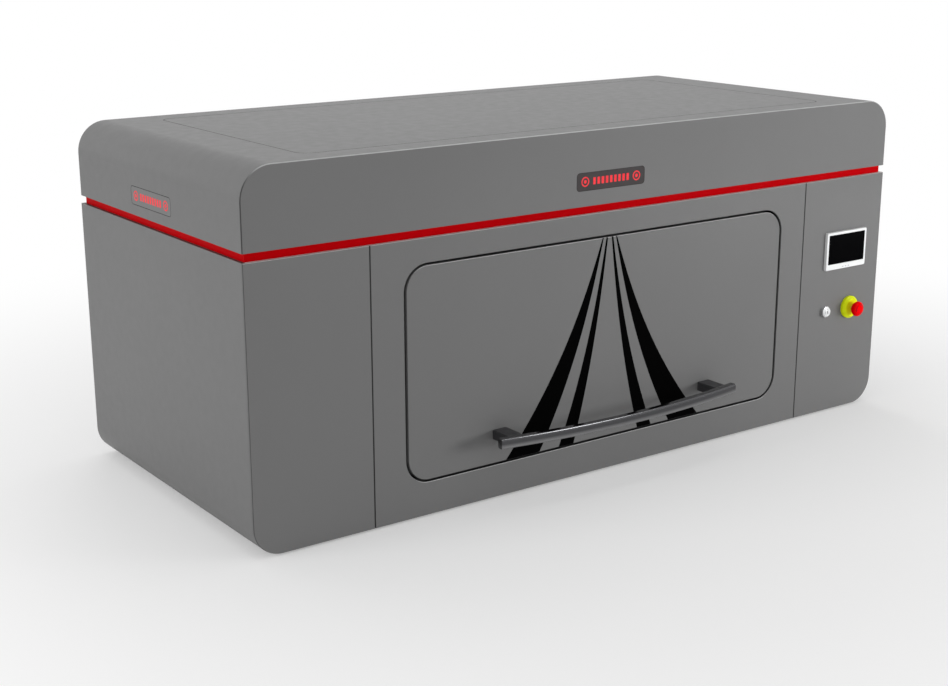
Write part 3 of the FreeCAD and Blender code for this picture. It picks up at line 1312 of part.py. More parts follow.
def fan_guard():
    """Four rings on four legs; each leg ends in an eye on one of the fan's screws."""
    wire = GUARD_WIRE / 2
    legs = (BACK, BACK + GUARD_REACH / 2)
    rings = (legs[1], BACK + GUARD_REACH)
    wires = []
    for count in range(GUARD_RINGS):
        radius = GUARD_INNER + GUARD_SPACING * count
        ring = rod("y", 0.0, 0.0, rings, radius + wire)
        wires.append(ring.cut(rod("y", 0.0, 0.0, beyond(rings), radius - wire)))
    reach = hypot(FAN_SCREW, FAN_SCREW)
    for angle in (45.0, 135.0, 225.0, 315.0):
        leg = box((GUARD_INNER - wire, reach), legs, about(0.0, wire))
        leg = fuse(leg, rod("y", reach, 0.0, legs, GUARD_EYE))
        leg = leg.cut(rod("y", reach, 0.0, beyond(legs), GUARD_EYE_BORE))
        leg.rotate(FreeCAD.Vector(0, 0, 0), FreeCAD.Vector(0, 1, 0), angle)
        wires.append(leg)
    return fuse(*wires)


def at_fans(shape):
    """The same shape at both fans."""
    copies = []
    for x in (-FAN_X, FAN_X):
        copy = shape.copy()
        copy.translate(FreeCAD.Vector(x, 0, FAN_Z))
        copies.append(copy)
    return copies


def inlet_limits(shrink):
    """The mains inlet's limits in X and in Z, shrunk on every side."""
    return about(INLET_X, INLET_WIDTH / 2 - shrink), about(INLET_Z, INLET_HEIGHT / 2 - shrink)


def socket_limits(shrink):
    """The limits of the group of data sockets in X and in Z, shrunk on every side."""
    middle = INLET_X + SOCKETS_NEAR + SOCKETS_WIDTH / 2
    return about(middle, SOCKETS_WIDTH / 2 - shrink), about(INLET_Z, SOCKETS_HEIGHT / 2 - shrink)


def insert(limits, depth):
    """A moulded body that fills a hole in the rear panel, with a flange on the outside."""
    corner = INSERT_CORNER - INSERT_GAP
    body = slab("y", *limits(INSERT_GAP), (BACK - depth, BACK), corner)
    flange = slab("y", *limits(-INSERT_FLANGE), (BACK, BACK + INSERT_FLANGE_THICK), corner)
    return fuse(body, flange)


def mains_inlet():
    """The inlet's body with its cup and three pins, and the pocket of the rocker beside it."""
    left = inlet_limits(0.0)[0][0]
    mouth = (BACK - CUP_DEPTH, BACK + INSERT_FLANGE_THICK + CUT_MARGIN)
    cup_x = (left + CUP_INSET, left + CUP_INSET + CUP_WIDTH)
    cup = slab("y", cup_x, about(INLET_Z, CUP_HEIGHT / 2), mouth,
               (CUP_CORNER, CUP_BACK_CORNER, CUP_BACK_CORNER, CUP_CORNER))
    pocket = slab("y", about(ROCKER_X, POCKET_HALF_WIDTH), about(INLET_Z, POCKET_HALF_HEIGHT), mouth)
    pins = []
    pin_x = about((cup_x[0] + cup_x[1]) / 2 - PIN_OFFSET, PIN_WIDTH / 2)
    for row in (-1, 0, 1):
        pins.append(box(pin_x, (mouth[0], mouth[0] + PIN_LENGTH),
                        about(INLET_Z + row * PIN_SPACING, PIN_HEIGHT / 2)))
    return fuse(insert(inlet_limits, INLET_DEPTH).cut(cup).cut(pocket), *pins)


def mains_rocker():
    """A rocker with a hollow face, tipped to one side about the pivot in its pocket."""
    half = ROCKER_HALF_HEIGHT
    profile = [(-half, -ROCKER_EDGE), (-half, ROCKER_TIP), (0.0, ROCKER_MIDDLE), (half, ROCKER_TIP),
               (half, -ROCKER_EDGE), (0.0, -ROCKER_KEEL)]
    points = [(BACK - ROCKER_SUNK + depth, INLET_Z + z) for z, depth in profile]
    rocker = outline("x", points, about(ROCKER_X, ROCKER_HALF_WIDTH))
    rocker.rotate(FreeCAD.Vector(0, BACK - ROCKER_SUNK, INLET_Z), FreeCAD.Vector(1, 0, 0), -ROCKER_THROW / 2)
    return rocker


def data_sockets():
    """One body with two network sockets and a wider data socket."""
    body = insert(socket_limits, SOCKETS_DEPTH)
    start = socket_limits(0.0)[0][0] + SOCKET_GAP
    for width in (SOCKET_WIDTH, SOCKET_WIDTH, WIDE_SOCKET_WIDTH):
        hole = (BACK - SOCKET_DEPTH, BACK + INSERT_FLANGE_THICK + CUT_MARGIN)
        body = body.cut(box((start, start + width), hole, about(INLET_Z, SOCKET_HEIGHT / 2)))
        start += width + SOCKET_GAP
    return body


def build():
    bar = handle_bar()
    frames = at_fans(fan_frame())
    rotors = at_fans(fan_rotor())
    guards = at_fans(fan_guard())
    save("base_plate", base_plate())
    save("rubber_feet", rubber_feet())
    save("left_side_panel", side_panel())
    save("right_side_panel", mirror(side_panel()))
    save("front_left_panel", front_left_panel())
    save("front_centre_panel", front_centre_panel())
    save("front_right_panel", front_right_panel())
    save("rear_panel", rear_panel())
    save("deck_plate", deck_plate())
    save("accent_band", accent_band())
    save("top_cap", top_cap())
    save("service_panel", service_panel())
    save("lamp_lenses", lamp_lenses())
    save("lamp_housings", lamp_housings())
    save("display_bezel", display_bezel())
    save("display_screen", display_screen())
    save("stop_collar", stop_collar())
    save("stop_stem", stop_stem())
    save("stop_button", stop_button())
    save("key_collar", key_collar())
    save("key_core", key_core())
    save("door_skin", door_skin())
    save("door_stripes", door_stripes())
    save("door_tray", Part.makeCompound([door_tray()] + strut_brackets()))
    save("handle_bar", bar)
    save("handle_posts", handle_posts(bar))
    save("hinge_arms", hinge_arms())
    save("hinge_brackets", hinge_brackets())
    save("hinge_pins", hinge_pins())
    save("strut_cylinders", strut_cylinders())
    save("strut_rods", strut_rods())
    save("frame_tubes", frame_tubes())
    save("chamber_floor", chamber_plate("floor"))
    save("chamber_ceiling", chamber_plate("ceiling"))
    save("chamber_back_wall", chamber_plate("back"))
    save("chamber_side_walls", chamber_plate("sides"))
    save("opening_seal", opening_seal())
    save("interlock_sensors", interlock_sensors())
    save("stage_base", stage_base())
    save("y_rails", y_rails())
    save("y_carriage", y_carriage())
    save("x_rails", x_rails())
    save("x_carriage", x_carriage())
    save("lift_column", lift_column())
    save("lift_ram", lift_ram())
    save("sample_table", sample_table())
    save("head_bracket", head_bracket())
    save("xray_tube", xray_tube())
    save("capillary_optic", capillary_optic())
    save("detectors", detectors())
    save("cameras", cameras())
    save("hv_generator", hv_generator())
    save("control_unit", control_unit())
    save("fan_frames", Part.makeCompound(frames))
    save("fan_guards", Part.makeCompound(guards))
    save("left_fan_rotor", rotors[0])
    save("right_fan_rotor", rotors[1])
    save("mains_inlet", mains_inlet())
    save("mains_rocker", mains_rocker())
    save("data_sockets", data_sockets())


os.makedirs("parts", exist_ok=True)
build()
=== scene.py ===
import math

import bmesh
import bpy
import numpy as np
from mathutils import Matrix, Vector


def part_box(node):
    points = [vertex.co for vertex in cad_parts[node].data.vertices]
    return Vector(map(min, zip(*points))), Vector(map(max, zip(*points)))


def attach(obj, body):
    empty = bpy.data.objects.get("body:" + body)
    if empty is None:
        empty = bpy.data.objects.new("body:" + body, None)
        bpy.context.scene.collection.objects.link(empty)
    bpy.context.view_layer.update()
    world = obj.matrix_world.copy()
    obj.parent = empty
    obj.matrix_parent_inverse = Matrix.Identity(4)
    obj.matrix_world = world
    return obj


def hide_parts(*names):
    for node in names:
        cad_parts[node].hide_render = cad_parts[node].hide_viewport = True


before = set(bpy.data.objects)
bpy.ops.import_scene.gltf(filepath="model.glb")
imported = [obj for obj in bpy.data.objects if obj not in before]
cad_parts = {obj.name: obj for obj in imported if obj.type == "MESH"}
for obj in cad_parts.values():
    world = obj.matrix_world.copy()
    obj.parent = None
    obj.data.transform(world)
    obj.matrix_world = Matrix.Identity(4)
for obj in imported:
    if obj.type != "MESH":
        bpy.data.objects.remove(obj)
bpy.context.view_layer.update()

scene = bpy.context.scene


# The view: a normal lens in front of the left corner, a little above the cabinet's top.
# The angles turn it to the right, down and a hair round its own line of sight.
VIEW_FROM = (-2.30246, -3.0407, 1.29623)
VIEW_RIGHT = 0.62065
VIEW_DOWN = 0.27110
VIEW_ROLL = -0.00216
LENS = 58.479
camera = bpy.data.objects.new("view", bpy.data.cameras.new("view"))
scene.collection.objects.link(camera)
camera.data.lens = LENS
camera.data.clip_end = 200.0
camera.matrix_world = (
    Matrix.Translation(VIEW_FROM)
    @ Matrix.Rotation(-VIEW_RIGHT, 4, "Z")
    @ Matrix.Rotation(math.pi / 2 - VIEW_DOWN, 4, "X")
    @ Matrix.Rotation(VIEW_ROLL, 4, "Z")
)
scene.camera = camera
scene.view_settings.view_transform = "Standard"


# The studio: an even pale room and soft lamps: a wide one overhead, low ones at the right, the
# left and behind, and one above the front that only shows as sheen. Camera, mirror and glass
# rays see the room as plain white.
def arithmetic(owner, operation, *values):
    """The result of one arithmetic step on values in a material or a world."""
    step = owner.node_tree.nodes.new("ShaderNodeMath")
    step.operation = operation
    for value, socket in zip(values, step.inputs):
        owner.node_tree.links.new(value, socket)
    return step.outputs[0]


def between(owner, amount, low, high, start=0.3, end=0.7):
    """A value's range from start to end carried to the range from low to high."""
    spread = owner.node_tree.nodes.new("ShaderNodeMapRange")
    for name, value in (("From Min", start), ("From Max", end), ("To Min", low), ("To Max", high)):
        spread.inputs[name].default_value = value
    owner.node_tree.links.new(amount, spread.inputs["Value"])
    return spread.outputs["Result"]


ROOM_LIGHT = 0.54
world = bpy.data.worlds.new("studio")
scene.world = world
world.use_nodes = True
room = world.node_tree.nodes["Background"]
room_path = world.node_tree.nodes.new("ShaderNodeLightPath")
seen = room_path.outputs["Is Camera Ray"]
for other in ("Is Glossy Ray", "Is Transmission Ray"):
    seen = arithmetic(world, "MAXIMUM", seen, room_path.outputs[other])
world.node_tree.links.new(between(world, seen, ROOM_LIGHT, 1.0, 0.0, 1.0), room.inputs["Strength"])
room.inputs["Color"].default_value = (1.0, 1.0, 1.0, 1.0)


def soft_lamp(name, place, target, width, height, watts):
    """A rectangular lamp at a place, facing a target point."""
    lamp = bpy.data.objects.new(name, bpy.data.lights.new(name, "AREA"))
    lamp.data.shape = "RECTANGLE"
    lamp.data.size = width
    lamp.data.size_y = height
    lamp.data.energy = watts
    scene.collection.objects.link(lamp)
    lamp.location = place
    aim = Vector(target) - Vector(place)
    lamp.rotation_euler = aim.to_track_quat("-Z", "Y").to_euler()
    return lamp


soft_lamp("lamp_overhead", (0.0, 0.7, 4.2), (0.0, 0.1, 0.8), 4.0, 2.8, 23.5)
soft_lamp("lamp_sheen", (1.65, -1.75, 3.0), (-0.15, -0.45, 0.17), 1.5, 0.8, 52.0).visible_diffuse = False
soft_lamp("lamp_right", (3.0, -3.2, 0.6), (0.2, -0.36, 0.25), 1.8, 0.9, 82.0).visible_glossy = False
soft_lamp("lamp_left", (-4.6, 0.4, 1.6), (-0.95, 0.05, 0.5), 2.0, 2.0, 54.0)
soft_lamp("lamp_back", (1.5, 4.6, 1.3), (0.0, 0.46, 0.4), 2.4, 1.4, 60.0).visible_glossy = False


# The floor: a wide matt white disc that keeps the shadow and fades to the room's white.
FLOOR_RADIUS = 40.0
FLOOR_WHITE = 0.97
FLOOR_FADE = (0.9, 2.6)
FLOOR_GLOW = 0.3
floor_mesh = bpy.data.meshes.new("floor")
turn = np.linspace(0.0, 2 * math.pi, 64, endpoint=False)
rim = np.stack([np.cos(turn), np.sin(turn), 0 * turn], 1) * FLOOR_RADIUS
floor_mesh.from_pydata(rim.tolist(), [], [list(range(64))])
floor = bpy.data.objects.new("floor", floor_mesh)
scene.collection.objects.link(floor)
floor_paint = bpy.data.materials.new("floor_paint")
floor_paint.use_nodes = True
floor_tree = floor_paint.node_tree
floor_tree.nodes.remove(floor_tree.nodes["Principled BSDF"])
matt = floor_tree.nodes.new("ShaderNodeBsdfDiffuse")
matt.inputs["Color"].default_value = (FLOOR_WHITE, FLOOR_WHITE, FLOOR_WHITE, 1.0)
white = floor_tree.nodes.new("ShaderNodeEmission")
floor_place = floor_tree.nodes.new("ShaderNodeTexCoord")
away = floor_tree.nodes.new("ShaderNodeVectorMath")
away.operation = "LENGTH"
fade = floor_tree.nodes.new("ShaderNodeMapRange")
fade.interpolation_type = "SMOOTHSTEP"
fade.inputs["From Min"].default_value = FLOOR_FADE[0]
fade.inputs["From Max"].default_value = FLOOR_FADE[1]
fade.inputs["To Min"].default_value = FLOOR_GLOW
floor_path = floor_tree.nodes.new("ShaderNodeLightPath")
floor_mix = floor_tree.nodes.new("ShaderNodeMixShader")
floor_tree.links.new(floor_place.outputs["Object"], away.inputs[0])
floor_tree.links.new(away.outputs["Value"], fade.inputs["Value"])
camera_only = arithmetic(floor_paint, "MULTIPLY", fade.outputs["Result"], floor_path.outputs["Is Camera Ray"])
floor_tree.links.new(camera_only, floor_mix.inputs["Fac"])
floor_tree.links.new(matt.outputs["BSDF"], floor_mix.inputs[1])
floor_tree.links.new(white.outputs["Emission"], floor_mix.inputs[2])
floor_tree.links.new(floor_mix.outputs["Shader"], floor_tree.nodes["Material Output"].inputs["Surface"])
floor_mesh.materials.append(floor_paint)


# The base: a thick plate of zinc-plated steel that carries the frame, with slots along its
# middle and socket screws along its edges. Its plating shows faint crystals and a bluish cast.
def levels(red, green, blue):
    """A colour given in a picture's 0 to 255 levels, as a shader's linear values."""
    part = np.array([red, green, blue]) / 255.0
    line = np.where(part <= 0.04045, part / 12.92, ((part + 0.055) / 1.055) ** 2.4)
    return (*line.tolist(), 1.0)


def plain_grey(level):
    """A grey of one level from 0 to 255."""
    return levels(level, level, level)


def new_finish(name, colour, roughness, metallic=0.0, specular=0.5):
    """A material with one colour, roughness, metalness and strength of reflection."""
    material = bpy.data.materials.new(name)
    material.use_nodes = True
    shader = material.node_tree.nodes["Principled BSDF"]
    shader.inputs["Base Color"].default_value = colour
    shader.inputs["Roughness"].default_value = roughness
    shader.inputs["Metallic"].default_value = metallic
    shader.inputs["Specular IOR Level"].default_value = specular
    return material


def speckle(material, per_metre, stretch=(1.0, 1.0, 1.0), detail=2.0, cells=False):
    """A pattern from 0 to 1 on the piece's own coordinates, with so many bumps to a metre.
    Stretch divides that number along an axis; cells gives flat crystals in place of clouds."""
    nodes, links = material.node_tree.nodes, material.node_tree.links
    place = nodes.new("ShaderNodeTexCoord")
    scale = nodes.new("ShaderNodeMapping")
    scale.inputs["Scale"].default_value = [per_metre / amount for amount in stretch]
    links.new(place.outputs["Object"], scale.inputs["Vector"])
    if cells:
        texture = nodes.new("ShaderNodeTexVoronoi")
        texture.inputs["Scale"].default_value = 1.0
        links.new(scale.outputs["Vector"], texture.inputs["Vector"])
        grey = nodes.new("ShaderNodeRGBToBW")
        links.new(texture.outputs["Color"], grey.inputs["Color"])
        return grey.outputs["Val"]
    texture = nodes.new("ShaderNodeTexNoise")
    texture.inputs["Scale"].default_value = 1.0
    texture.inputs["Detail"].default_value = detail
    links.new(scale.outputs["Vector"], texture.inputs["Vector"])
    return texture.outputs["Fac"]


def tint(material, amount, colour):
    """Carry the base colour towards another one, by a pattern that runs from 0 to 1."""
    nodes, links = material.node_tree.nodes, material.node_tree.links
    base = nodes["Principled BSDF"].inputs["Base Color"]
    blend = nodes.new("ShaderNodeMix")
    blend.data_type = "RGBA"
    first, second = [s for s in blend.inputs if s.type == "RGBA"]
    first.default_value = base.default_value
    second.default_value = colour
    if base.is_linked:
        links.new(base.links[0].from_socket, first)
    links.new(amount, blend.inputs["Factor"])
    links.new([s for s in blend.outputs if s.type == "RGBA"][0], base)


def mottle(material, per_metre, share, colour, **pattern):
    """Carry the base colour a share of the way towards another one, in clouds."""
    tint(material, between(material, speckle(material, per_metre, **pattern), 0.0, share), colour)


def uneven_gloss(material, amount, low, high):
    """Let the roughness wander between two values with a pattern."""
    rough = between(material, amount, low, high)
    material.node_tree.links.new(rough, material.node_tree.nodes["Principled BSDF"].inputs["Roughness"])


def relief(material, amount, height):
    """Raise the surface by a pattern, height metres from its lowest to its highest."""
    nodes, links = material.node_tree.nodes, material.node_tree.links
    bump = nodes.new("ShaderNodeBump")
    bump.inputs["Strength"].default_value = 1.0
    bump.inputs["Distance"].default_value = height
    normal = nodes["Principled BSDF"].inputs["Normal"]
    if normal.is_linked:
        links.new(normal.links[0].from_socket, bump.inputs["Normal"])
    links.new(amount, bump.inputs["Height"])
    links.new(bump.outputs["Normal"], normal)


def wear(node, material):
    """Give a finish to every slot of a CAD node."""
    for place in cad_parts[node].material_slots:
        place.material = material


def zinc_plate():
    """Bright zinc plating: crystals a few millimetres wide, each a little lighter or duller."""
    zinc = new_finish("zinc_plate", levels(172, 176, 180), 0.38, 1.0)
    crystals = speckle(zinc, 140.0, cells=True)
    tint(zinc, between(zinc, crystals, 0.0, 0.5, 0.0, 1.0), levels(146, 151, 158))
    uneven_gloss(zinc, crystals, 0.3, 0.48)
    relief(zinc, speckle(zinc, 900.0), 0.00002)
    return zinc


def grid_faces(rows, columns, wrapped):
    """Quads between neighbouring rows and columns of a grid of points, wrapped or open."""
    row = np.arange(rows - 1)[:, None]
    column = np.arange(columns if wrapped else columns - 1)[None, :]
    after = (column + 1) % columns
    corners = [row * columns + column, row * columns + after,
               (row + 1) * columns + after, (row + 1) * columns + column]
    return np.stack(corners, -1).reshape(-1, 4)


def together(parts):
    """Several lots of points and faces as one."""
    points, faces, count = [], [], 0
    for some_points, some_faces in parts:
        points.append(some_points)
        faces.append(some_faces + count)
        count += len(some_points)
    return np.concatenate(points), np.concatenate(faces)


def piece(name, parts, material, body, crease=35.0):
    """A closed piece from lots of points and faces: doubles merged, faces turned outwards,
    smooth except at edges sharper than the crease, and riding on its body."""
    points, faces = together(parts)
    mesh = bpy.data.meshes.new(name)
    mesh.from_pydata(points.tolist(), [], faces.tolist())
    shape = bmesh.new()
    shape.from_mesh(mesh)
    bmesh.ops.remove_doubles(shape, verts=shape.verts, dist=1e-6)
    bmesh.ops.recalc_face_normals(shape, faces=shape.faces)
    shape.to_mesh(mesh)
    shape.free()
    mesh.polygons.foreach_set("use_smooth", np.ones(len(mesh.polygons), bool))
    mesh.set_sharp_from_angle(angle=math.radians(crease))
    mesh.materials.append(material)
    made = bpy.data.objects.new(name, mesh)
    scene.collection.objects.link(made)
    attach(made, body)
    return made


def stand(part, facing, place):
    """Carry a part from the flat plane, where it faces +Z, to a wall that faces one way."""
    right, up = {
        "front": ((1, 0, 0), (0, 0, 1)), "back": ((-1, 0, 0), (0, 0, 1)),
        "left": ((0, -1, 0), (0, 0, 1)), "right": ((0, 1, 0), (0, 0, 1)),
        "up": ((1, 0, 0), (0, 1, 0)), "down": ((1, 0, 0), (0, -1, 0)),
    }[facing]
    points, faces = part
    wall = np.stack([right, up, np.cross(right, up)]).astype(float)
    return points @ wall + np.array(place), faces


def socket_screw(radius, height, steps=24):
    """A screw head with a hexagonal recess: rings of the foot, the rim, its bevel and the
    recess, each a radius times one or times the outline of a hexagon."""
    turn = np.linspace(0.0, 2 * math.pi, steps, endpoint=False)
    circle = np.ones(steps)
    hexagon = 1.0 / np.cos(np.mod(turn, math.pi / 3) - math.pi / 6)
    rings = []
    outline = ((0.0, 0.0, circle), (1.0, 0.0, circle), (1.0, 0.75, circle), (0.9, 1.0, circle),
               (0.5, 1.0, hexagon), (0.48, 0.35, hexagon), (0.0, 0.35, circle))
    for share, level, shape in outline:
        flat = np.stack([np.cos(turn), np.sin(turn)], 1) * (share * radius * shape)[:, None]
        rings.append(np.column_stack([flat, np.full(steps, level * height)]))
    return np.concatenate(rings), grid_faces(len(rings), steps, True)


def screws_at(facing, places, radius, height):
    """The same screw at several places of one wall."""
    return [stand(socket_screw(radius, height), facing, place) for place in places]


def screw_set(name, facing, places, radius, height, body="chassis"):
    """A piece of steel screws on one wall, riding on a body."""
    piece(name, screws_at(facing, places, radius, height), steel_screw, body)


zinc = zinc_plate()
wear("base_plate", zinc)
steel_screw = new_finish("steel_screw", levels(160, 162, 165), 0.34, 1.0)
mottle(steel_screw, 700.0, 0.6, levels(128, 130, 134))
uneven_gloss(steel_screw, speckle(steel_screw, 900.0), 0.26, 0.46)
base_low, base_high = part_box("base_plate")
BASE_EDGE = 0.025
base_places = []
for across in np.linspace(base_low.x + 2 * BASE_EDGE, base_high.x - 2 * BASE_EDGE, 8):
    for along in (base_low.y + BASE_EDGE, base_high.y - BASE_EDGE):
        base_places.append((across, along, base_low.z))
screw_set("base_screws", "down", base_places, 0.005, 0.0012)


# Six moulded rubber feet, each held from below by one screw in a deep recess.
# Ribbed underneath, with a rounded rim; the rubber is matt and a little dusty.
def spun(profile, centre, axis, steps=48):
    """Points and faces of a profile of (radius, height) spun about an axis through centre:
    ring by ring, radius times the cosine and sine of the turn, height along the axis."""
    axis = np.array(axis, float) / np.linalg.norm(axis)
    aside = np.cross(axis, (0.0, 0.0, 1.0) if abs(axis[2]) < 0.9 else (1.0, 0.0, 0.0))
    aside /= np.linalg.norm(aside)
    third = np.cross(axis, aside)
    radius, height = np.array(profile, float).T
    turn = np.linspace(0.0, 2 * math.pi, steps, endpoint=False)
    ring = np.cos(turn)[:, None] * aside + np.sin(turn)[:, None] * third
    points = np.array(centre) + radius[:, None, None] * ring + height[:, None, None] * axis
    return points.reshape(-1, 3), grid_faces(len(radius), steps, True)


def moulded_rubber(name, grey, grain_height):
    """Black rubber: matt, lightly pebbled, greyer where dust has settled."""
    rubber = new_finish(name, plain_grey(grey), 0.72, specular=0.3)
    mottle(rubber, 35.0, 0.35, levels(70, 69, 67), detail=5.0)
    uneven_gloss(rubber, speckle(rubber, 120.0), 0.62, 0.85)
    relief(rubber, speckle(rubber, 1500.0), grain_height)
    return rubber


FOOT_RADIUS = 0.032
FOOT_RECESS = 0.008
RECESS_DEPTH = 0.0032
RIB_PITCH = 0.0065
foot_rubber = moulded_rubber("foot_rubber", 34, 0.00006)
foot_low, foot_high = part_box("rubber_feet")
foot_profile = [(0.0, foot_high.z), (FOOT_RADIUS, foot_high.z), (FOOT_RADIUS, 0.0042),
                (FOOT_RADIUS - 0.0007, 0.0036), (FOOT_RADIUS - 0.0007, 0.003), (FOOT_RADIUS, 0.0024),
                (FOOT_RADIUS - 0.0003, 0.0008), (FOOT_RADIUS - 0.0011, 0.0)]
for rib in range(3):
    outer = FOOT_RADIUS - 0.004 - RIB_PITCH * rib
    foot_profile += [(outer, 0.0), (outer - 0.0006, 0.0009), (outer - 0.0020, 0.0009), (outer - 0.0026, 0.0)]
foot_profile += [(FOOT_RECESS, 0.0), (FOOT_RECESS - 0.0008, 0.0008),
                 (FOOT_RECESS - 0.001, RECESS_DEPTH), (0.0, RECESS_DEPTH)]
feet, foot_places = [], []
for across in (foot_low.x + FOOT_RADIUS, 0.0, foot_high.x - FOOT_RADIUS):
    for along in (foot_low.y + FOOT_RADIUS, foot_high.y - FOOT_RADIUS):
        feet.append(spun(foot_profile, (across, along, 0.0), (0, 0, 1)))
        foot_places.append((across, along, RECESS_DEPTH))
moulded_feet = piece("moulded_feet", feet, foot_rubber, "chassis")
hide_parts("rubber_feet")
screw_set("foot_screws", "down", foot_places, 0.0055, 0.0024)


# The outer panels: folded steel sheet in one grey powder coat, satin and nearly smooth, with
# the thinnest pebble and a slow mottle that only shows at a slant. A painted highlight lightens
# the top's rounded edges, and painted shade darkens the front's rounded corners.
FOLD_STARTS = 0.15
FOLD_FULL = 0.45


def light_and_shade_edges(material, first, second, sign):
    """1 on a rounded edge between two walls and 0 on the walls: the surface direction's part
    along the first axis, without its sign, times its part along the second."""
    nodes, links = material.node_tree.nodes, material.node_tree.links
    direction = nodes.new("ShaderNodeSeparateXYZ")
    links.new(nodes.new("ShaderNodeTexCoord").outputs["Normal"], direction.inputs["Vector"])
    sideways = arithmetic(material, "ABSOLUTE", direction.outputs[first])
    product = arithmetic(material, "MULTIPLY", sideways, direction.outputs[second])
    return between(material, product, 0.0, 1.0, sign * FOLD_STARTS, sign * FOLD_FULL)


def powder_coat(name, grey):
    """Satin powder coat: a pebble about a millimetre across on a faint slow mottle, with a painted
    highlight on the top's folded edges and painted shade down the front corners."""
    coat = new_finish(name, plain_grey(grey), 0.5, specular=0.15)
    coat.node_tree.nodes["Principled BSDF"].inputs["Coat Weight"].default_value = 0.16
    coat.node_tree.nodes["Principled BSDF"].inputs["Coat Roughness"].default_value = 0.2
    mottle(coat, 3.2, 0.4, plain_grey(grey - 4), detail=3.0)
    mottle(coat, 900.0, 0.05, plain_grey(grey + 12), detail=1.0)
    # painted highlight: the top's rounded front and back edges made lighter, as if lit from above
    tint(coat, light_and_shade_edges(coat, "Y", "Z", 1), plain_grey(grey + 70))
    # painted shade: the front's rounded vertical corners made darker
    tint(coat, light_and_shade_edges(coat, "X", "Y", -1), plain_grey(grey - 50))
    uneven_gloss(coat, speckle(coat, 40.0, detail=4.0), 0.46, 0.54)
    relief(coat, speckle(coat, 900.0, detail=1.0), 0.000003)
    return coat


def rounded_loop(half_a, half_b, corner, steps=8):
    """Points of a rectangle with rounded corners, and the outward direction at each."""
    quarter = np.linspace(0.0, math.pi / 2, steps)
    turn = np.concatenate([quarter + math.pi / 2 * side for side in range(4)])
    signs = np.repeat([(1, 1), (-1, 1), (-1, -1), (1, -1)], steps, axis=0)
    outward = np.stack([np.cos(turn), np.sin(turn)], 1)
    return signs * (np.array([half_a, half_b]) - corner) + outward * corner, outward


def tile(width, height, corner, thick):
    """A flat tile with rounded corners and a softened rim, facing +Z: its outline, shrunk by
    an inset, from a middle point of the foot over the rim to a middle point on top."""
    rings = [np.zeros((32, 3))]
    for inset, level in ((0.0, 0.0), (0.0, 0.6 * thick), (0.35 * corner, thick)):
        flat, _ = rounded_loop(width / 2 - inset, height / 2 - inset, corner - inset)
        rings.append(np.column_stack([flat, np.full(len(flat), level)]))
    rings.append(np.tile((0.0, 0.0, thick), (32, 1)))
    return np.concatenate(rings), grid_faces(5, 32, True)


def ring_of(section, half_a, half_b, corner):
    """A closed section of (outwards, upwards) points carried round a rounded rectangle."""
    line, outward = rounded_loop(half_a, half_b, corner)
    flat = line[:, None, :] + outward[:, None, :] * section[None, :, 0, None]
    rise = np.broadcast_to(section[None, :, 1, None], flat.shape[:2] + (1,))
    count, ring = flat.shape[:2]
    return np.concatenate([flat, rise], -1).reshape(-1, 3), grid_faces(count + 1, ring, True) % (count * ring)


BODY_GREY = 114
body_coat = powder_coat("body_coat", BODY_GREY)
for panel in ("left_side_panel", "right_side_panel", "front_left_panel", "front_centre_panel",
              "front_right_panel", "rear_panel", "top_cap", "service_panel"):
    wear(panel, body_coat)


# painted shade: rubber filler in the front seams, made near black so the seams read as shaded gaps
SEAM_AT = (0.655, -0.361, 0.320)
SEAM_STRIP = (0.0014, 0.628, 0.0004, 0.003)
seam_shade_rubber = moulded_rubber("seam_shade_rubber", 16, 0.00001)
seam_strips = [stand(tile(*SEAM_STRIP), "front", (side * SEAM_AT[0], SEAM_AT[1], SEAM_AT[2]))
               for side in (-1, 1)]
piece("seam_strips", seam_strips, seam_shade_rubber, "chassis")
# painted shade: a near-black strip fills the service panel's gap so it reads as a shaded line
SERVICE_GAP = 0.0015
SERVICE_CORNER = 0.030
service_low, service_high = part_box("service_panel")
service_half = (service_high - service_low + Vector((SERVICE_GAP, SERVICE_GAP, 0.0))) / 2
strip = np.array([(-0.75, -0.002), (0.75, -0.002), (0.75, 0.00005), (-0.75, 0.00005)]) * (SERVICE_GAP, 1.0)
service_strip = ring_of(strip, service_half.x, service_half.y, SERVICE_CORNER + SERVICE_GAP / 2)
service_top = (0.0, (service_low.y + service_high.y) / 2, service_high.z)
piece("service_gap_shade", [stand(service_strip, "up", service_top)], seam_shade_rubber, "chassis")


# The deck closes the lower body under the cap. Its coat is painted very light, a painted highlight
# for the ledge below the band, with painted shade on its left end. The frame's square tubes have
# a plain dark primer.
def dark_primer():
    """Dark epoxy primer on welded tube: uneven gloss and a faint brown-grey cast."""
    primer = new_finish("dark_primer", levels(58, 58, 60), 0.5, specular=0.3)
    mottle(primer, 14.0, 0.6, levels(72, 70, 68), detail=5.0)
    uneven_gloss(primer, speckle(primer, 40.0, detail=4.0), 0.4, 0.62)
    relief(primer, speckle(primer, 500.0), 0.00006)
    return primer


def place_along(material, axis):
    """The piece's own coordinate along one axis, in metres."""
    nodes, links = material.node_tree.nodes, material.node_tree.links
    place = nodes.new("ShaderNodeTexCoord")
    split = nodes.new("ShaderNodeSeparateXYZ")
    links.new(place.outputs["Object"], split.inputs["Vector"])
    return split.outputs[axis]


# painted highlight: the deck's grey is far lighter than the body's, so the ledge under the band reads as lit
deck_highlight_and_shade = powder_coat("deck_highlight_and_shade", 226)
band_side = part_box("accent_band")[0].x
side_shade_ends = (band_side - 0.0005, band_side + 0.0005)
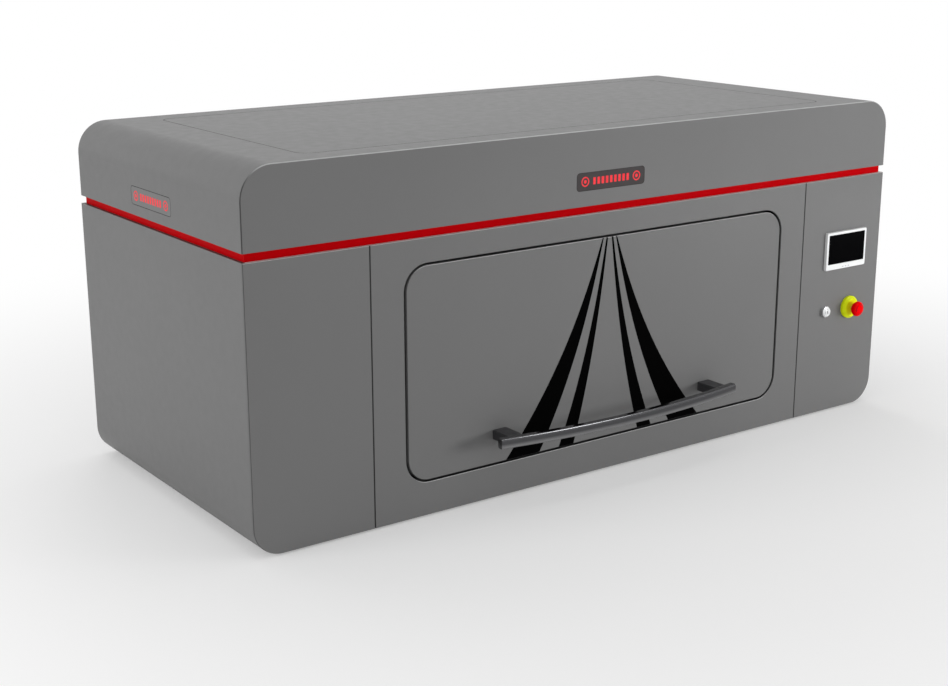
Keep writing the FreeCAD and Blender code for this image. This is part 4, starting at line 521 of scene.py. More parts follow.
# painted shade: the deck's left end, beyond the band, made dark
tint(deck_highlight_and_shade, between(deck_highlight_and_shade, place_along(deck_highlight_and_shade, "X"), 1.0, 0.0, *side_shade_ends), plain_grey(58))
wear("deck_plate", deck_highlight_and_shade)
primer = dark_primer()
wear("frame_tubes", primer)
wear("hinge_brackets", zinc)


# The band between the lower body and the cap: strips of red enamelled sheet, set back, with a
# smooth coat.
def red_enamel():
    """Red enamel with a slight orange peel."""
    enamel = new_finish("red_enamel", levels(190, 2, 10), 0.34, specular=0.01)
    mottle(enamel, 6.0, 0.6, levels(178, 2, 8), detail=3.0)
    uneven_gloss(enamel, speckle(enamel, 45.0), 0.28, 0.4)
    relief(enamel, speckle(enamel, 160.0), 0.00002)
    return enamel


wear("accent_band", red_enamel())


# The indicator lamps in the cap: a bar of smoked acrylic over a housing with red lights, set
# in a thin black gasket. A ring with a dot stands at each end of a row of short bars.
SIDE_LENS_ENDS = (-0.935, -0.93)


def smoked_acrylic(reflection_grey):
    """Smoked acrylic: near black; the side lens is tinted grey as a painted reflection of the room."""
    acrylic = new_finish("smoked_acrylic", levels(56, 52, 53), 0.3, specular=0.2)
    mottle(acrylic, 60.0, 0.4, levels(64, 58, 59))
    # painted reflection: the lens on the left side tinted to the body's grey
    side_reflection = between(acrylic, place_along(acrylic, "X"), 1.0, 0.0, *SIDE_LENS_ENDS)
    tint(acrylic, side_reflection, plain_grey(reflection_grey))
    relief(acrylic, speckle(acrylic, 40.0), 0.00001)
    return acrylic


def lit_red():
    """A red diffuser with a lamp behind it: a faint, slightly uneven glow."""
    lit = new_finish("lit_red", levels(214, 44, 52), 0.4, specular=0.1)
    mottle(lit, 380.0, 0.6, levels(232, 84, 90))
    shader = lit.node_tree.nodes["Principled BSDF"]
    shader.inputs["Emission Color"].default_value = levels(255, 50, 56)
    shader.inputs["Emission Strength"].default_value = 0.2
    return lit


wear("lamp_lenses", smoked_acrylic(BODY_GREY))
black_moulding = new_finish("black_moulding", levels(38, 38, 39), 0.5, specular=0.3)
mottle(black_moulding, 900.0, 0.5, levels(52, 52, 53))
uneven_gloss(black_moulding, speckle(black_moulding, 90.0), 0.42, 0.58)
relief(black_moulding, speckle(black_moulding, 1600.0), 0.00004)
wear("lamp_housings", black_moulding)

MARK_THICK = 0.0001
RING_AT = 0.077
RING_RADIUS = 0.0115
BAR_COUNT = 9
BAR_PITCH = 0.0125
BAR_SIZE = (0.0075, 0.0165)
LENS_HALF = (0.1015, 0.0205)
LENS_CORNER = 0.008
cap_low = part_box("top_cap")[0]
FRONT_LENS = (0.0, cap_low.y, 0.711)
SIDE_LENS = (cap_low.x, cap_low.y + 0.424, 0.699)
MARK_RIM = MARK_THICK * 0.7
ring_profile = [(RING_RADIUS - 0.003, 0.0), (RING_RADIUS, 0.0), (RING_RADIUS, MARK_RIM),
                (RING_RADIUS - 0.0003, MARK_THICK), (RING_RADIUS - 0.0027, MARK_THICK),
                (RING_RADIUS - 0.003, MARK_RIM), (RING_RADIUS - 0.003, 0.0)]
dot_profile = [(0.0, 0.0), (0.0042, 0.0), (0.0042, MARK_RIM), (0.0038, MARK_THICK), (0.0, MARK_THICK)]
marks = []
for side in (-1, 1):
    for profile, steps in ((ring_profile, 32), (dot_profile, 24)):
        marks.append(spun(profile, (side * RING_AT, 0.0, 0.0), (0, 0, 1), steps))
for count in range(BAR_COUNT):
    bar_points, bar_faces = tile(*BAR_SIZE, 0.0012, MARK_THICK)
    offset = (count - (BAR_COUNT - 1) / 2) * BAR_PITCH
    marks.append((bar_points + (offset, 0.0, 0.0), bar_faces))


def on_both_lenses(part):
    """The same part on the front lens and on the side one."""
    return [stand(part, "front", FRONT_LENS), stand(part, "left", SIDE_LENS)]


piece("lamp_marks", on_both_lenses(together(marks)), lit_red(), "chassis")
lens_edge = np.array([(0.0, 0.0), (0.0014, 0.0), (0.0012, MARK_THICK), (0.0002, MARK_THICK)]) - (0.0006, 0.0)
lens_gasket = ring_of(lens_edge, *LENS_HALF, LENS_CORNER)
lens_rubber = moulded_rubber("lens_rubber", 22, 0.00001)
piece("lens_gaskets", on_both_lenses(lens_gasket), lens_rubber, "chassis")


# The display: an injection-moulded white surround over black glass, standing off the panel.
def smooth_plastic(name, colour, darker, rough=0.34, specular=0.4):
    """Injection-moulded plastic: a faint flow pattern and a very fine spark-eroded grain."""
    plastic = new_finish(name, colour, rough, specular=specular)
    mottle(plastic, 45.0, 0.5, darker, detail=4.0)
    uneven_gloss(plastic, speckle(plastic, 200.0), rough - 0.05, rough + 0.07)
    relief(plastic, speckle(plastic, 2200.0), 0.00002)
    return plastic


def black_glass():
    """Black glass, coated against glare, with the faint haze of wiped finger marks."""
    glass = new_finish("black_glass", levels(2, 2, 3), 0.06, specular=0.008)
    uneven_gloss(glass, speckle(glass, 55.0, stretch=(1.0, 1.0, 2.5), detail=5.0), 0.05, 0.16)
    mottle(glass, 30.0, 0.4, levels(5, 5, 6), detail=3.0)
    return glass


white_surround = smooth_plastic("white_surround", levels(238, 239, 239), levels(230, 231, 232), 0.4, 0.2)
wear("display_bezel", white_surround)
wear("display_screen", black_glass())
KEY_PITCH = 0.011
KEY_RISE = 0.0052
KEY_SIZE = (0.006, 0.0028, 0.0012, 0.0002)
bezel_low, bezel_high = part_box("display_bezel")
bezel_middle = (bezel_low.x + bezel_high.x) / 2
key_places = [(bezel_middle + step * KEY_PITCH, bezel_low.y, bezel_low.z + KEY_RISE) for step in (-1, 0, 1)]
touch_keys = [stand(tile(*KEY_SIZE), "front", place) for place in key_places]
grey_key = smooth_plastic("grey_key", levels(196, 198, 200), levels(188, 190, 192), 0.4)
piece("touch_keys", touch_keys, grey_key, "chassis")


# The stop control: a yellow collar, a steel stem, and a red mushroom head. Three raised arrows
# bent round its crown show which way it turns to let go.
HEAD_RADIUS = 0.020
HEAD_DEPTH = 0.020
CROWN_DEPTH = 0.011
CROWN_POWER = 2.6
STEM_BORE = 0.00405


def crown_depth(radius):
    """How far the crown has fallen back at a radius: a superellipse of the radius over the
    head's radius and the height over the crown's depth, both to one power, adding up to 1."""
    share = np.clip(1.0 - (np.abs(radius) / HEAD_RADIUS) ** CROWN_POWER, 0.0, 1.0)
    return CROWN_DEPTH * (1.0 - share ** (1.0 / CROWN_POWER))


def mushroom_head(centre):
    """The crown from its middle to its rim, then the skirt, the flat back and the blind bore."""
    slant = np.linspace(0.0, math.pi / 2, 22)
    radius = HEAD_RADIUS * np.sin(slant) ** (2.0 / CROWN_POWER)
    height = -CROWN_DEPTH * (1.0 - np.cos(slant) ** (2.0 / CROWN_POWER))
    crown = np.column_stack([radius, height]).tolist()
    skirt = [(0.0198, -0.0125), (0.0186, -0.0138), (0.0172, -0.0146), (0.0150, -0.0182), (0.0143, -0.0198),
             (0.0140, -HEAD_DEPTH), (STEM_BORE, -HEAD_DEPTH), (STEM_BORE, -0.0077), (0.0, -0.0077)]
    return spun(crown + skirt, centre, (0, -1, 0), 64)


def crown_arrow(centre, start, sweep=1.5, steps=28):
    """An arrow bent round the crown: across is a share of the width, which stays even along the
    shaft and narrows to nothing along the tip; the ring of points lies on and in the crown."""
    along = np.concatenate([np.linspace(0.0, 0.66, steps - 10), np.linspace(0.6601, 1.0, 10)])
    width = np.where(along <= 0.66, 0.0019, 0.0056 * (1.0 - along) / 0.34 + 0.00002)
    across = np.array([-0.5, -0.42, 0.0, 0.42, 0.5, 0.5, -0.5])
    lift = np.array([0.00005, 0.00035, 0.0004, 0.00035, 0.00005, -0.0004, -0.0004])
    radius = 0.0128 + width[:, None] * across[None, :]
    turn = start + sweep * np.broadcast_to(along[:, None], radius.shape)
    depth = crown_depth(radius) - lift[None, :]
    points = np.stack([radius * np.cos(turn), depth, radius * np.sin(turn)], -1) + np.array(centre)
    ends = np.broadcast_to(points.mean(axis=1, keepdims=True), points.shape)
    rings = np.concatenate([ends[:1], points, ends[-1:]])
    return rings.reshape(-1, 3), grid_faces(len(rings), points.shape[1], True)


red_moulding = smooth_plastic("red_moulding", levels(242, 3, 10), levels(230, 2, 8), 0.3, 0.02)
yellow_moulding = smooth_plastic("yellow_moulding", levels(234, 248, 24), levels(224, 238, 18), 0.34, 0.06)
wear("stop_collar", yellow_moulding)
button_low, button_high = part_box("stop_button")
button_centre = ((button_low.x + button_high.x) / 2, button_low.y, (button_low.z + button_high.z) / 2)
smooth_head = piece("mushroom_head", [mushroom_head(button_centre)], red_moulding,
                    "stop_head", 50.0)
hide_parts("stop_button")
dark_red = smooth_plastic("dark_red", levels(176, 4, 10), levels(160, 2, 8), 0.36, 0.15)
arrows = [crown_arrow(button_centre, start) for start in np.linspace(0.0, 2 * math.pi, 3, endpoint=False)]
piece("head_arrows", arrows, dark_red, "stop_head")
bright_metal = new_finish("bright_metal", levels(240, 241, 242), 0.22, 1.0)
uneven_gloss(bright_metal, speckle(bright_metal, 260.0, detail=4.0), 0.14, 0.3)
mottle(bright_metal, 80.0, 0.4, levels(226, 228, 230))
wear("stop_stem", bright_metal)


# The key switch: a chromed nose round a barrel that the key turns.
wear("key_collar", bright_metal)
wear("key_core", bright_metal)


# The door: one pressed skin with rolled edges, black vinyl inlays let into it, and a deep
# tray of shielding behind, held by a row of screws along its brim.
wear("door_skin", body_coat)
black_vinyl = new_finish("black_vinyl", plain_grey(3), 0.5, specular=0.005)
mottle(black_vinyl, 300.0, 0.5, plain_grey(7))
uneven_gloss(black_vinyl, speckle(black_vinyl, 24.0, detail=4.0), 0.38, 0.52)
relief(black_vinyl, speckle(black_vinyl, 900.0), 0.00001)
wear("door_stripes", black_vinyl)


def brushed_steel(name, colour, darker, along, rough=0.34):
    """Brushed stainless sheet: long fine scratches along one axis and faint clouds of oil."""
    steel = new_finish(name, colour, rough, 1.0)
    stretch = [60.0 if axis == along else 1.0 for axis in "xyz"]
    scratches = speckle(steel, 1400.0, stretch=stretch, detail=3.0)
    tint(steel, between(steel, scratches, 0.0, 0.5), darker)
    mottle(steel, 5.0, 0.35, darker, detail=4.0)
    uneven_gloss(steel, scratches, rough - 0.08, rough + 0.1)
    relief(steel, scratches, 0.00001)
    return steel


shield = brushed_steel("shield_sheet", levels(186, 187, 188), levels(166, 167, 169), "x")
wear("door_tray", shield)
BRIM_Y = -0.3495
ARM_AT = 0.430
ARM_CLEAR = 0.030
brim_places = []
for height in np.arange(0.130, 0.5001, 0.074):
    brim_places += [(-0.527, BRIM_Y, height), (0.527, BRIM_Y, height)]
for across in np.arange(-0.385, 0.3851, 0.110):
    brim_places.append((across, BRIM_Y, 0.562))
brim_places = [place for place in brim_places
               if abs(abs(place[0]) - ARM_AT) > ARM_CLEAR or place[2] < 0.510]
screw_set("brim_screws", "back", brim_places, 0.0034, 0.0008, "door")
SENSOR_AT = 0.200
SENSOR_Z = 0.530
magnets = [stand(tile(0.040, 0.016, 0.003, 0.0022), "back", (side * SENSOR_AT, BRIM_Y, SENSOR_Z))
           for side in (-1, 1)]
piece("interlock_magnets", magnets, yellow_moulding, "door")


# The handle: a flat bar of dark polished steel bent to a shallow bow, on two dark cast posts.
# Painted reflection makes its face dark down to its middle and lighter below; painted shade
# gives it a thin dark lower edge, and a painted highlight lightens its top edge.
dark_steel = new_finish("dark_steel", levels(88, 88, 90), 0.16, 1.0)
bar_low, bar_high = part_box("handle_bar")
bar_rise = place_along(dark_steel, "Z")
# painted reflection lightens the lower half, painted shade darkens the lowest edge, a painted highlight
# lightens the top edge
for shade, low, high, start, end in (
        ((146, 146, 147), 1.0, 0.0, bar_low.z + 0.005, (bar_low.z + bar_high.z) / 2),
        ((70, 70, 72), 1.0, 0.0, bar_low.z + 0.0004, bar_low.z + 0.0016),
        ((112, 112, 114), 0.0, 1.0, bar_high.z - 0.0012, bar_high.z - 0.0002)):
    tint(dark_steel, between(dark_steel, bar_rise, low, high, start, end), levels(*shade))
mottle(dark_steel, 2400.0, 0.16, levels(72, 72, 74), stretch=(60.0, 1.0, 1.0))
uneven_gloss(dark_steel, speckle(dark_steel, 1800.0, stretch=(50.0, 1.0, 1.0), detail=3.0), 0.12, 0.2)
wear("handle_bar", dark_steel)
dark_casting = new_finish("dark_casting", levels(62, 62, 64), 0.42, 0.5)
mottle(dark_casting, 500.0, 0.5, levels(74, 74, 76))
uneven_gloss(dark_casting, speckle(dark_casting, 60.0), 0.36, 0.5)
relief(dark_casting, speckle(dark_casting, 1000.0), 0.00005)
wear("handle_posts", dark_casting)


# The hinges: zinc arms held to the brim by four screws each, swinging on ground pins that snap
# rings keep in their cheeks.
ground_steel = brushed_steel("ground_steel", levels(200, 201, 202), levels(182, 184, 187), "y", 0.22)
wear("hinge_arms", zinc)
wear("hinge_pins", ground_steel)
ARM_SCREW = 0.0155
arm_places = [(side * ARM_AT + step * ARM_SCREW, -0.3445, height)
              for side in (-1, 1) for step in (-1, 1) for height in (0.530, 0.552)]
screw_set("arm_screws", "back", arm_places, 0.0042, 0.0028, "door")
pin_low, pin_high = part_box("hinge_pins")
clip_profile = [(0.0051, 0.0), (0.0074, 0.0), (0.0075, 0.0002), (0.0075, 0.001),
                (0.0074, 0.0012), (0.0051, 0.0012), (0.0051, 0.0)]
clips = []
for side in (-1, 1):
    for step in (-1, 1):
        place = (side * ARM_AT + step * 0.0179, (pin_low.y + pin_high.y) / 2, (pin_low.z + pin_high.z) / 2)
        clips.append(spun(clip_profile, place, (step, 0, 0), 32))
black_oxide = new_finish("black_oxide", levels(44, 44, 47), 0.34, 0.9)
mottle(black_oxide, 500.0, 0.6, levels(66, 65, 66))
uneven_gloss(black_oxide, speckle(black_oxide, 200.0), 0.28, 0.44)
piece("pin_clips", clips, black_oxide, "chassis")


# The gas struts: black enamelled cylinders with a moulded gland at the mouth, and bright rods.
black_enamel = new_finish("black_enamel", levels(26, 26, 27), 0.3, specular=0.4)
mottle(black_enamel, 200.0, 0.5, levels(36, 36, 37))
uneven_gloss(black_enamel, speckle(black_enamel, 50.0), 0.24, 0.38)
relief(black_enamel, speckle(black_enamel, 300.0), 0.00003)
wear("strut_cylinders", black_enamel)
wear("strut_rods", ground_steel)
STRUT_AT = 0.540
STRUT_EXPOSED = 0.0308
STRUT_FOOT = np.array((0.0, -0.3345, 0.3345))
STRUT_HEAD = np.array((0.0, -0.2905, 0.5545))
strut_line = (STRUT_HEAD - STRUT_FOOT) / np.linalg.norm(STRUT_HEAD - STRUT_FOOT)
gland_profile = [(0.0054, 0.0), (0.0066, 0.0), (0.0098, 0.0012), (0.0106, 0.0022),
                 (0.0106, 0.0034), (0.0054, 0.0034), (0.0054, 0.0)]
glands = []
for side in (-1, 1):
    mouth = STRUT_FOOT + strut_line * STRUT_EXPOSED + np.array((side * STRUT_AT, 0.0, 0.0))
    glands.append(spun(gland_profile, mouth, strut_line, 40))
piece("strut_glands", glands, black_moulding, "strut_cylinders")


# The shielded chamber: plates of steel over lead, brushed inside and screwed together, with a
# bulb gasket round the opening and two sensors above it that feel the door's magnets.
upright_shield = brushed_steel("upright_shield", levels(186, 187, 188), levels(166, 167, 169), "z")
for plate in ("chamber_floor", "chamber_ceiling"):
    wear(plate, shield)
for plate in ("chamber_back_wall", "chamber_side_walls"):
    wear(plate, upright_shield)
wear("interlock_sensors", yellow_moulding)
CHAMBER_X = 0.500
CHAMBER_Y = (-0.3462, 0.2755)
CHAMBER_Z = (0.104, 0.505)
FROM_EDGE = 0.014
depths = np.linspace(CHAMBER_Y[0] + 0.030, CHAMBER_Y[1] - 0.030, 6)
widths = np.linspace(-CHAMBER_X + 0.040, CHAMBER_X - 0.040, 9)
rises = np.linspace(CHAMBER_Z[0] + 0.045, CHAMBER_Z[1] - 0.045, 4)
edges = [side * (CHAMBER_X - FROM_EDGE) for side in (-1, 1)]
wall_screws = [(across, CHAMBER_Y[1], CHAMBER_Z[0] + FROM_EDGE) for across in widths]
wall_screws += [(edge, CHAMBER_Y[1], rise) for edge in edges for rise in rises]
chamber_screws = []
for facing, places in (("up", [(edge, depth, CHAMBER_Z[0]) for edge in edges for depth in depths]),
                       ("down", [(edge, depth, CHAMBER_Z[1]) for edge in edges for depth in depths]),
                       ("front", wall_screws)):
    chamber_screws += screws_at(facing, places, 0.0042, 0.0006)
piece("chamber_screws", chamber_screws, steel_screw, "chassis")


def gasket_section(width, depth, steps=20):
    """A bulb gasket's outline: a crown with two low lips between its feet, and a flat foot."""
    across = np.linspace(-0.5, 0.5, steps)
    crown = np.sqrt(np.clip(1 - (2 * across) ** 6, 0, 1)) * (0.82 + 0.18 * np.cos(across * 4 * math.pi))
    return np.column_stack([across * width, crown * depth])


seal_low, seal_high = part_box("opening_seal")
SEAL_WIDTH = 0.010
SEAL_CORNER = 0.009
seal_half_x = (seal_high.x - seal_low.x - SEAL_WIDTH) / 2
seal_half_z = (seal_high.z - seal_low.z - SEAL_WIDTH) / 2
gasket = ring_of(gasket_section(SEAL_WIDTH, seal_high.y - seal_low.y), seal_half_x, seal_half_z, SEAL_CORNER)
seal_rubber = moulded_rubber("seal_rubber", 40, 0.00003)
seal_place = (0.0, seal_high.y, (seal_low.z + seal_high.z) / 2)
door_gasket = piece("door_gasket", [stand(gasket, "front", seal_place)], seal_rubber,
                    "chassis")
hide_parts("opening_seal")
sensor_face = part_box("interlock_sensors")[0].y
sensor_places = [(side * SENSOR_AT + step * 0.022, sensor_face, SENSOR_Z)
                 for side in (-1, 1) for step in (-1, 1)]
screw_set("sensor_screws", "front", sensor_places, 0.003, 0.0006)


# The sample stage: black anodised plates on ground rails, a lift column, and a table with
# three slots that was milled and anodised in its natural colour. Plugs close the rails' screw
# holes, and socket screws hold each plate.
def anodised(name, colour, lighter, rough):
    """Anodised aluminium: fine milling marks under a clear satin skin."""
    metal = new_finish(name, colour, rough, 0.85)
    milling = speckle(metal, 600.0, stretch=(18.0, 1.0, 1.0), detail=2.0)
    tint(metal, between(metal, milling, 0.0, 0.4), lighter)
    uneven_gloss(metal, milling, rough - 0.05, rough + 0.08)
    relief(metal, milling, 0.000006)
    return metal


natural = anodised("natural_anodised", levels(184, 186, 188), levels(198, 199, 200), 0.34)
dark_anodised = anodised("dark_anodised", levels(44, 45, 47), levels(58, 59, 61), 0.38)
for part in ("stage_base", "y_carriage", "lift_column"):
    wear(part, dark_anodised)
for part in ("y_rails", "x_rails", "lift_ram"):
    wear(part, ground_steel)
for part in ("x_carriage", "sample_table"):
    wear(part, natural)
STAGE_AT = -0.0195
base_corners = [(x, STAGE_AT + y, 0.116) for x in (-0.29, 0.0, 0.29) for y in (-0.24, 0.24)]
screw_set("stage_base_screws", "up", base_corners, 0.005, 0.0006)
plug_profile = [(0.0, 0.0), (0.0045, 0.0), (0.0045, 0.0001), (0.0043, 0.00015), (0.0, 0.00015)]
y_plugs = [spun(plug_profile, (side * 0.180, along, 0.131), (0, 0, 1), 24)
           for side in (-1, 1) for along in np.arange(STAGE_AT - 0.210, STAGE_AT + 0.2101, 0.060)]
x_plugs = [spun(plug_profile, (along, STAGE_AT + side * 0.080, 0.166), (0, 0, 1), 24)
           for side in (-1, 1) for along in np.arange(-0.270, 0.2701, 0.060)]
piece("y_rail_plugs", y_plugs, dark_anodised, "chassis")
piece("x_rail_plugs", x_plugs, dark_anodised, "y_stage")
y_plate = [(across, STAGE_AT + side * 0.110, 0.151)
           for side in (-1, 1) for across in np.linspace(-0.290, 0.290, 7)]
screw_set("y_carriage_screws", "up", y_plate, 0.003, 0.0008, "y_stage")
x_plate = [(side * 0.105 + near * 0.015, STAGE_AT + row * 0.080 + far * 0.014, 0.186)
           for side in (-1, 1) for near in (-1, 1) for row in (-1, 1) for far in (-1, 1)]
screw_set("x_carriage_screws", "up", x_plate, 0.0036, 0.0008, "x_stage")
flange_turn = np.linspace(0.0, 2 * math.pi, 8, endpoint=False) + math.pi / 8
flange = [(0.072 * math.cos(turn), STAGE_AT + 0.072 * math.sin(turn), 0.194) for turn in flange_turn]
screw_set("column_screws", "up", flange, 0.004, 0.003, "x_stage")
TABLE_SCREW = 0.028
FLAT_HEAD = 0.0006
table_places = [(x, STAGE_AT + y, 0.292 - FLAT_HEAD)
                for x in (-TABLE_SCREW, TABLE_SCREW) for y in (-TABLE_SCREW, TABLE_SCREW)]
screw_set("table_screws", "up", table_places, 0.005, FLAT_HEAD, "z_stage")


# The measuring head: a bracket hung from the ceiling with the x-ray tube and its capillary
# optic, a detector on each side with a thin window at its tip, and two small cameras in
# front, each with a glass lens in a ring of white lights, all aimed at one spot.
wear("head_bracket", natural)
wear("xray_tube", shield)
wear("capillary_optic", ground_steel)
wear("detectors", natural)
wear("cameras", dark_anodised)
FOCUS = np.array((0.0, STAGE_AT, 0.352))
WINDOW_AWAY = 0.0238
LENS_AWAY = 0.052
LIGHTS_AWAY = 0.080
LIGHT_RING = 0.012
bracket_places = [(x, 0.0805, 0.497) for x in (-0.120, -0.040, 0.040, 0.120)]
tube_turn = np.linspace(0.0, 2 * math.pi, 6, endpoint=False) + math.pi / 6
tube_places = [(0.053 * math.cos(turn), STAGE_AT + 0.053 * math.sin(turn), 0.470) for turn in tube_turn]
head_screws = screws_at("down", bracket_places, 0.0045, 0.003) + screws_at("up", tube_places, 0.0024, 0.0022)
piece("head_screws", head_screws, steel_screw, "chassis")


def aimed(azimuth, elevation):
    """The direction from the focus at an azimuth and an elevation given in degrees."""
    turn, rise = math.radians(azimuth), math.radians(elevation)
    return np.array((math.cos(rise) * math.cos(turn), math.cos(rise) * math.sin(turn), math.sin(rise)))


window_metal = new_finish("window_metal", levels(120, 122, 128), 0.12, 1.0)
mottle(window_metal, 1200.0, 0.3, levels(98, 100, 108))
uneven_gloss(window_metal, speckle(window_metal, 600.0), 0.08, 0.2)
window_profile = [(0.0, -0.0003), (0.005, -0.0003), (0.0052, 0.0), (0.0056, 0.0002),
                  (0.0064, 0.0002), (0.0067, 0.0), (0.0067, 0.0003), (0.0, 0.0003)]
windows = [spun(window_profile, FOCUS + line * WINDOW_AWAY, line, 40)
           for line in (aimed(0, 45.0), aimed(180, 45.0))]
piece("detector_windows", windows, window_metal, "chassis")
lens_glass = new_finish("lens_glass", levels(14, 18, 34), 0.04, specular=0.8)
mottle(lens_glass, 260.0, 0.4, levels(22, 26, 44))
uneven_gloss(lens_glass, speckle(lens_glass, 90.0, detail=4.0), 0.03, 0.1)
dome = np.linspace(0.0, 1.0, 9)
dome_profile = np.column_stack([0.0066 * dome, -0.0016 + 0.0012 * dome ** 2]).tolist()
lens_profile = dome_profile + [(0.0078, -0.0006), (0.0084, 0.0002), (0.0, 0.0002)]
light_profile = [(0.0, -0.0012), (0.0008, -0.001), (0.0013, -0.0005), (0.0014, 0.0002), (0.0, 0.0002)]
camera_lenses, camera_lights = [], []
for azimuth in (-90.0 - 28.0, -90.0 + 28.0):
    line = aimed(azimuth, 50.0)
    aside = np.cross(line, (0.0, 0.0, 1.0))
    aside /= np.linalg.norm(aside)
    above = np.cross(aside, line)
    camera_lenses.append(spun(lens_profile, FOCUS + line * LENS_AWAY, line, 40))
    for turn in np.linspace(0.0, 2 * math.pi, 8, endpoint=False):
        spot = FOCUS + line * LIGHTS_AWAY + LIGHT_RING * (math.cos(turn) * aside + math.sin(turn) * above)
        camera_lights.append(spun(light_profile, spot, line, 12))
piece("camera_lenses", camera_lenses, lens_glass, "chassis")
light_domes = smooth_plastic("light_domes", levels(236, 236, 228), levels(222, 222, 206), 0.2)
piece("camera_lights", camera_lights, light_domes, "chassis")


# The supplies in the side bays: the tube's voltage generator on the left, sealed in a zinc
# box with cooling grooves, and the control unit on the right with louvres in its front.
wear("hv_generator", zinc)
wear("control_unit", zinc)
lid_places = []
for supply, inset, below in (("hv_generator", 0.012, 0.042), ("control_unit", 0.010, 0.012)):
    low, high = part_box(supply)
    for x in (low.x + inset, high.x - inset):
        lid_places += [(x, low.y, z) for z in (low.z + 0.020, high.z - below)]
screw_set("lid_screws", "front", lid_places, 0.0036, 0.002)


# The rear: a panel held by screws along its edges, fans in black frames behind guards of
# bright wire, the mains inlet with its rocker, and a group of data sockets.
BACK_Y = 0.4635
panel_places = [(across, BACK_Y, 0.622) for across in np.linspace(-0.920, 0.920, 9)]
panel_places += [(across, BACK_Y, 0.018) for across in np.linspace(-0.840, 0.840, 8)]
panel_places += [(side * 0.936, BACK_Y, height) for side in (-1, 1) for height in (0.130, 0.290, 0.455)]
panel_places += [(across, BACK_Y, 0.670) for across in np.linspace(-0.900, 0.900, 9)]
panel_screw = powder_coat("screw_coat", 96)
piece("rear_screws", screws_at("back", panel_places, 0.0042, 0.0016), panel_screw, "chassis")

for part in ("fan_frames", "left_fan_rotor", "right_fan_rotor",
             "mains_inlet", "mains_rocker", "data_sockets"):
    wear(part, black_moulding)
FAN_AT = 0.7815
FAN_HEIGHT = 0.330
WIRE = 0.0012
EYE_AT = 0.0525
GUARD_RADII = (0.016, 0.030, 0.044, 0.058)


def wire_ring(radius, wire, level, steps=96):
    """A ring of round wire: a circle about the wire's line, spun about +Z at a level."""
    round_wire = np.linspace(0.0, 2 * math.pi, 13)
    profile = np.column_stack([radius + wire * np.cos(round_wire), level + wire * np.sin(round_wire)])
    return spun(profile.tolist(), (0, 0, 0), (0, 0, 1), steps)


def wire_leg(start, end, wire, steps=12):
    """A straight round wire between two points with closed ends."""
    start, end = np.array(start), np.array(end)
    length = np.linalg.norm(end - start)
    profile = [(0.0, 0.0), (wire, 0.0), (wire, length), (0.0, length)]
    return spun(profile, start, end - start, steps)


guard_parts = []
for radius in GUARD_RADII:
    guard_parts.append(wire_ring(radius, WIRE, 0.0038))
for right, up in ((1, 1), (-1, 1), (-1, -1), (1, -1)):
    near = GUARD_RADII[0] / math.sqrt(2)
    far = EYE_AT - 0.0030 / math.sqrt(2)
    guard_parts.append(wire_leg((right * near, up * near, 0.0014), (right * far, up * far, 0.0014), WIRE))
    eye_points, eye_faces = wire_ring(0.0036, WIRE, 0.0012, 28)
    guard_parts.append((eye_points + (right * EYE_AT, up * EYE_AT, 0.0), eye_faces))
one_guard = together(guard_parts)
bright_wire = new_finish("bright_wire", levels(212, 213, 215), 0.22, 1.0)
mottle(bright_wire, 300.0, 0.4, levels(190, 192, 195))
uneven_gloss(bright_wire, speckle(bright_wire, 400.0), 0.16, 0.32)
guards = [stand(one_guard, "back", (side * FAN_AT, BACK_Y, FAN_HEIGHT)) for side in (-1, 1)]
wire_guards = piece("wire_guards", guards, bright_wire, "chassis", 60.0)
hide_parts("fan_guards")
guard_screws = [(side * FAN_AT + right * EYE_AT, BACK_Y + 0.0022, FAN_HEIGHT + up * EYE_AT)
                for side in (-1, 1) for right in (-1, 1) for up in (-1, 1)]
screw_set("guard_screws", "back", guard_screws, 0.0042, 0.0024)

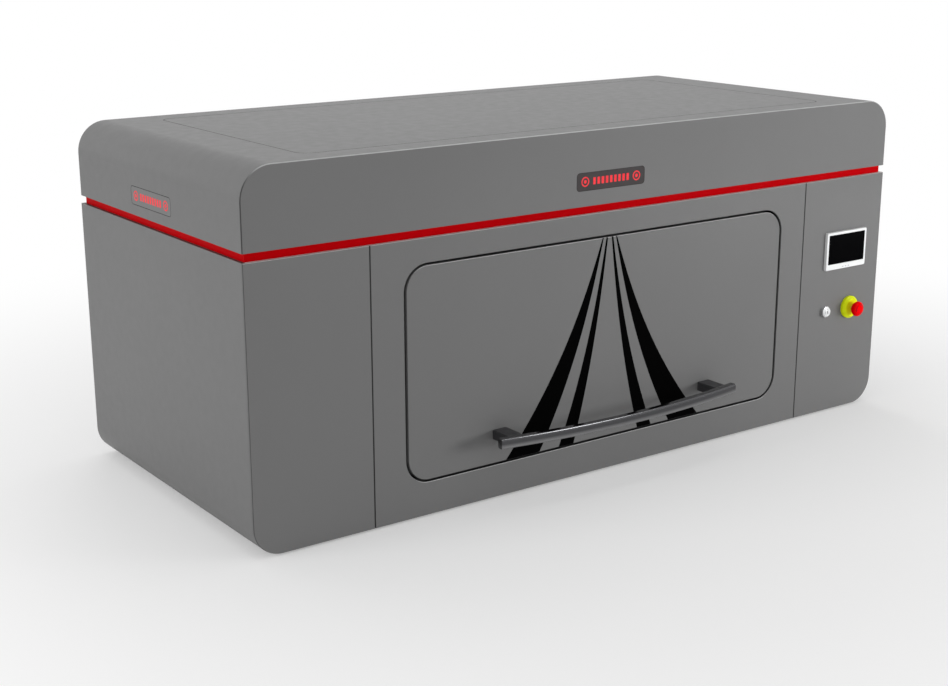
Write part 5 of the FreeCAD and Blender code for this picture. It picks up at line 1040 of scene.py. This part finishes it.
gold_plate = new_finish("gold_plate", levels(214, 172, 92), 0.24, 1.0)
mottle(gold_plate, 800.0, 0.4, levels(190, 148, 70))
uneven_gloss(gold_plate, speckle(gold_plate, 500.0), 0.18, 0.34)
SOCKET_FLOOR = BACK_Y - 0.0118
contacts = []
for start in (0.566, 0.588):
    for count in range(8):
        across = start + 0.008 + (count - 3.5) * 0.00112
        root, tip = (across, SOCKET_FLOOR, 0.0935), (across, BACK_Y - 0.003, 0.0950)
        contacts.append(wire_leg(root, tip, 0.00022, 8))
for count in range(9):
    across = 0.610 + 0.011 + (count - 4) * 0.0019
    for row in (0.0915, 0.0885):
        contacts.append(wire_leg((across, SOCKET_FLOOR, row), (across, BACK_Y - 0.005, row), 0.0004, 8))
piece("socket_contacts", contacts, gold_plate, "chassis")

# The rocker's face rises from its middle to both ends; a bar is printed on its upper half and a
# ring on its lower one, each leaning as its half does, and all tipped over with the rocker.
ROCKER_AT = np.array((0.517, BACK_Y - 0.004, 0.090))
ROCKER_TILT = math.radians(-12.0)
ROCKER_HALF = 0.009
ROCKER_MIDDLE = 0.0015
ROCKER_RISE = 0.002
PRINT_AT = 0.0046
bar_mark = tile(0.0008, 0.0042, 0.0002, 0.0001)
ring_mark = spun([(0.0017, 0.0), (0.0023, 0.0), (0.0023, 0.0001), (0.0017, 0.0001), (0.0017, 0.0)],
                 (0, 0, 0), (0, 0, 1), 24)
tipped = np.array(Matrix.Rotation(ROCKER_TILT, 3, "X"))
print_depth = ROCKER_MIDDLE + ROCKER_RISE * PRINT_AT / ROCKER_HALF
rocker_marks = []
for part, side in ((bar_mark, 1), (ring_mark, -1)):
    lean = np.array(Matrix.Rotation(-side * math.atan2(ROCKER_RISE, ROCKER_HALF), 3, "X"))
    points, faces = stand(part, "back", (0.0, 0.0, 0.0))
    points = points @ lean.T + (0.0, print_depth, side * PRINT_AT)
    rocker_marks.append((points @ tipped.T + ROCKER_AT, faces))
white_print = smooth_plastic("white_print", plain_grey(226), plain_grey(214), 0.5)
piece("rocker_marks", rocker_marks, white_print, "rocker")
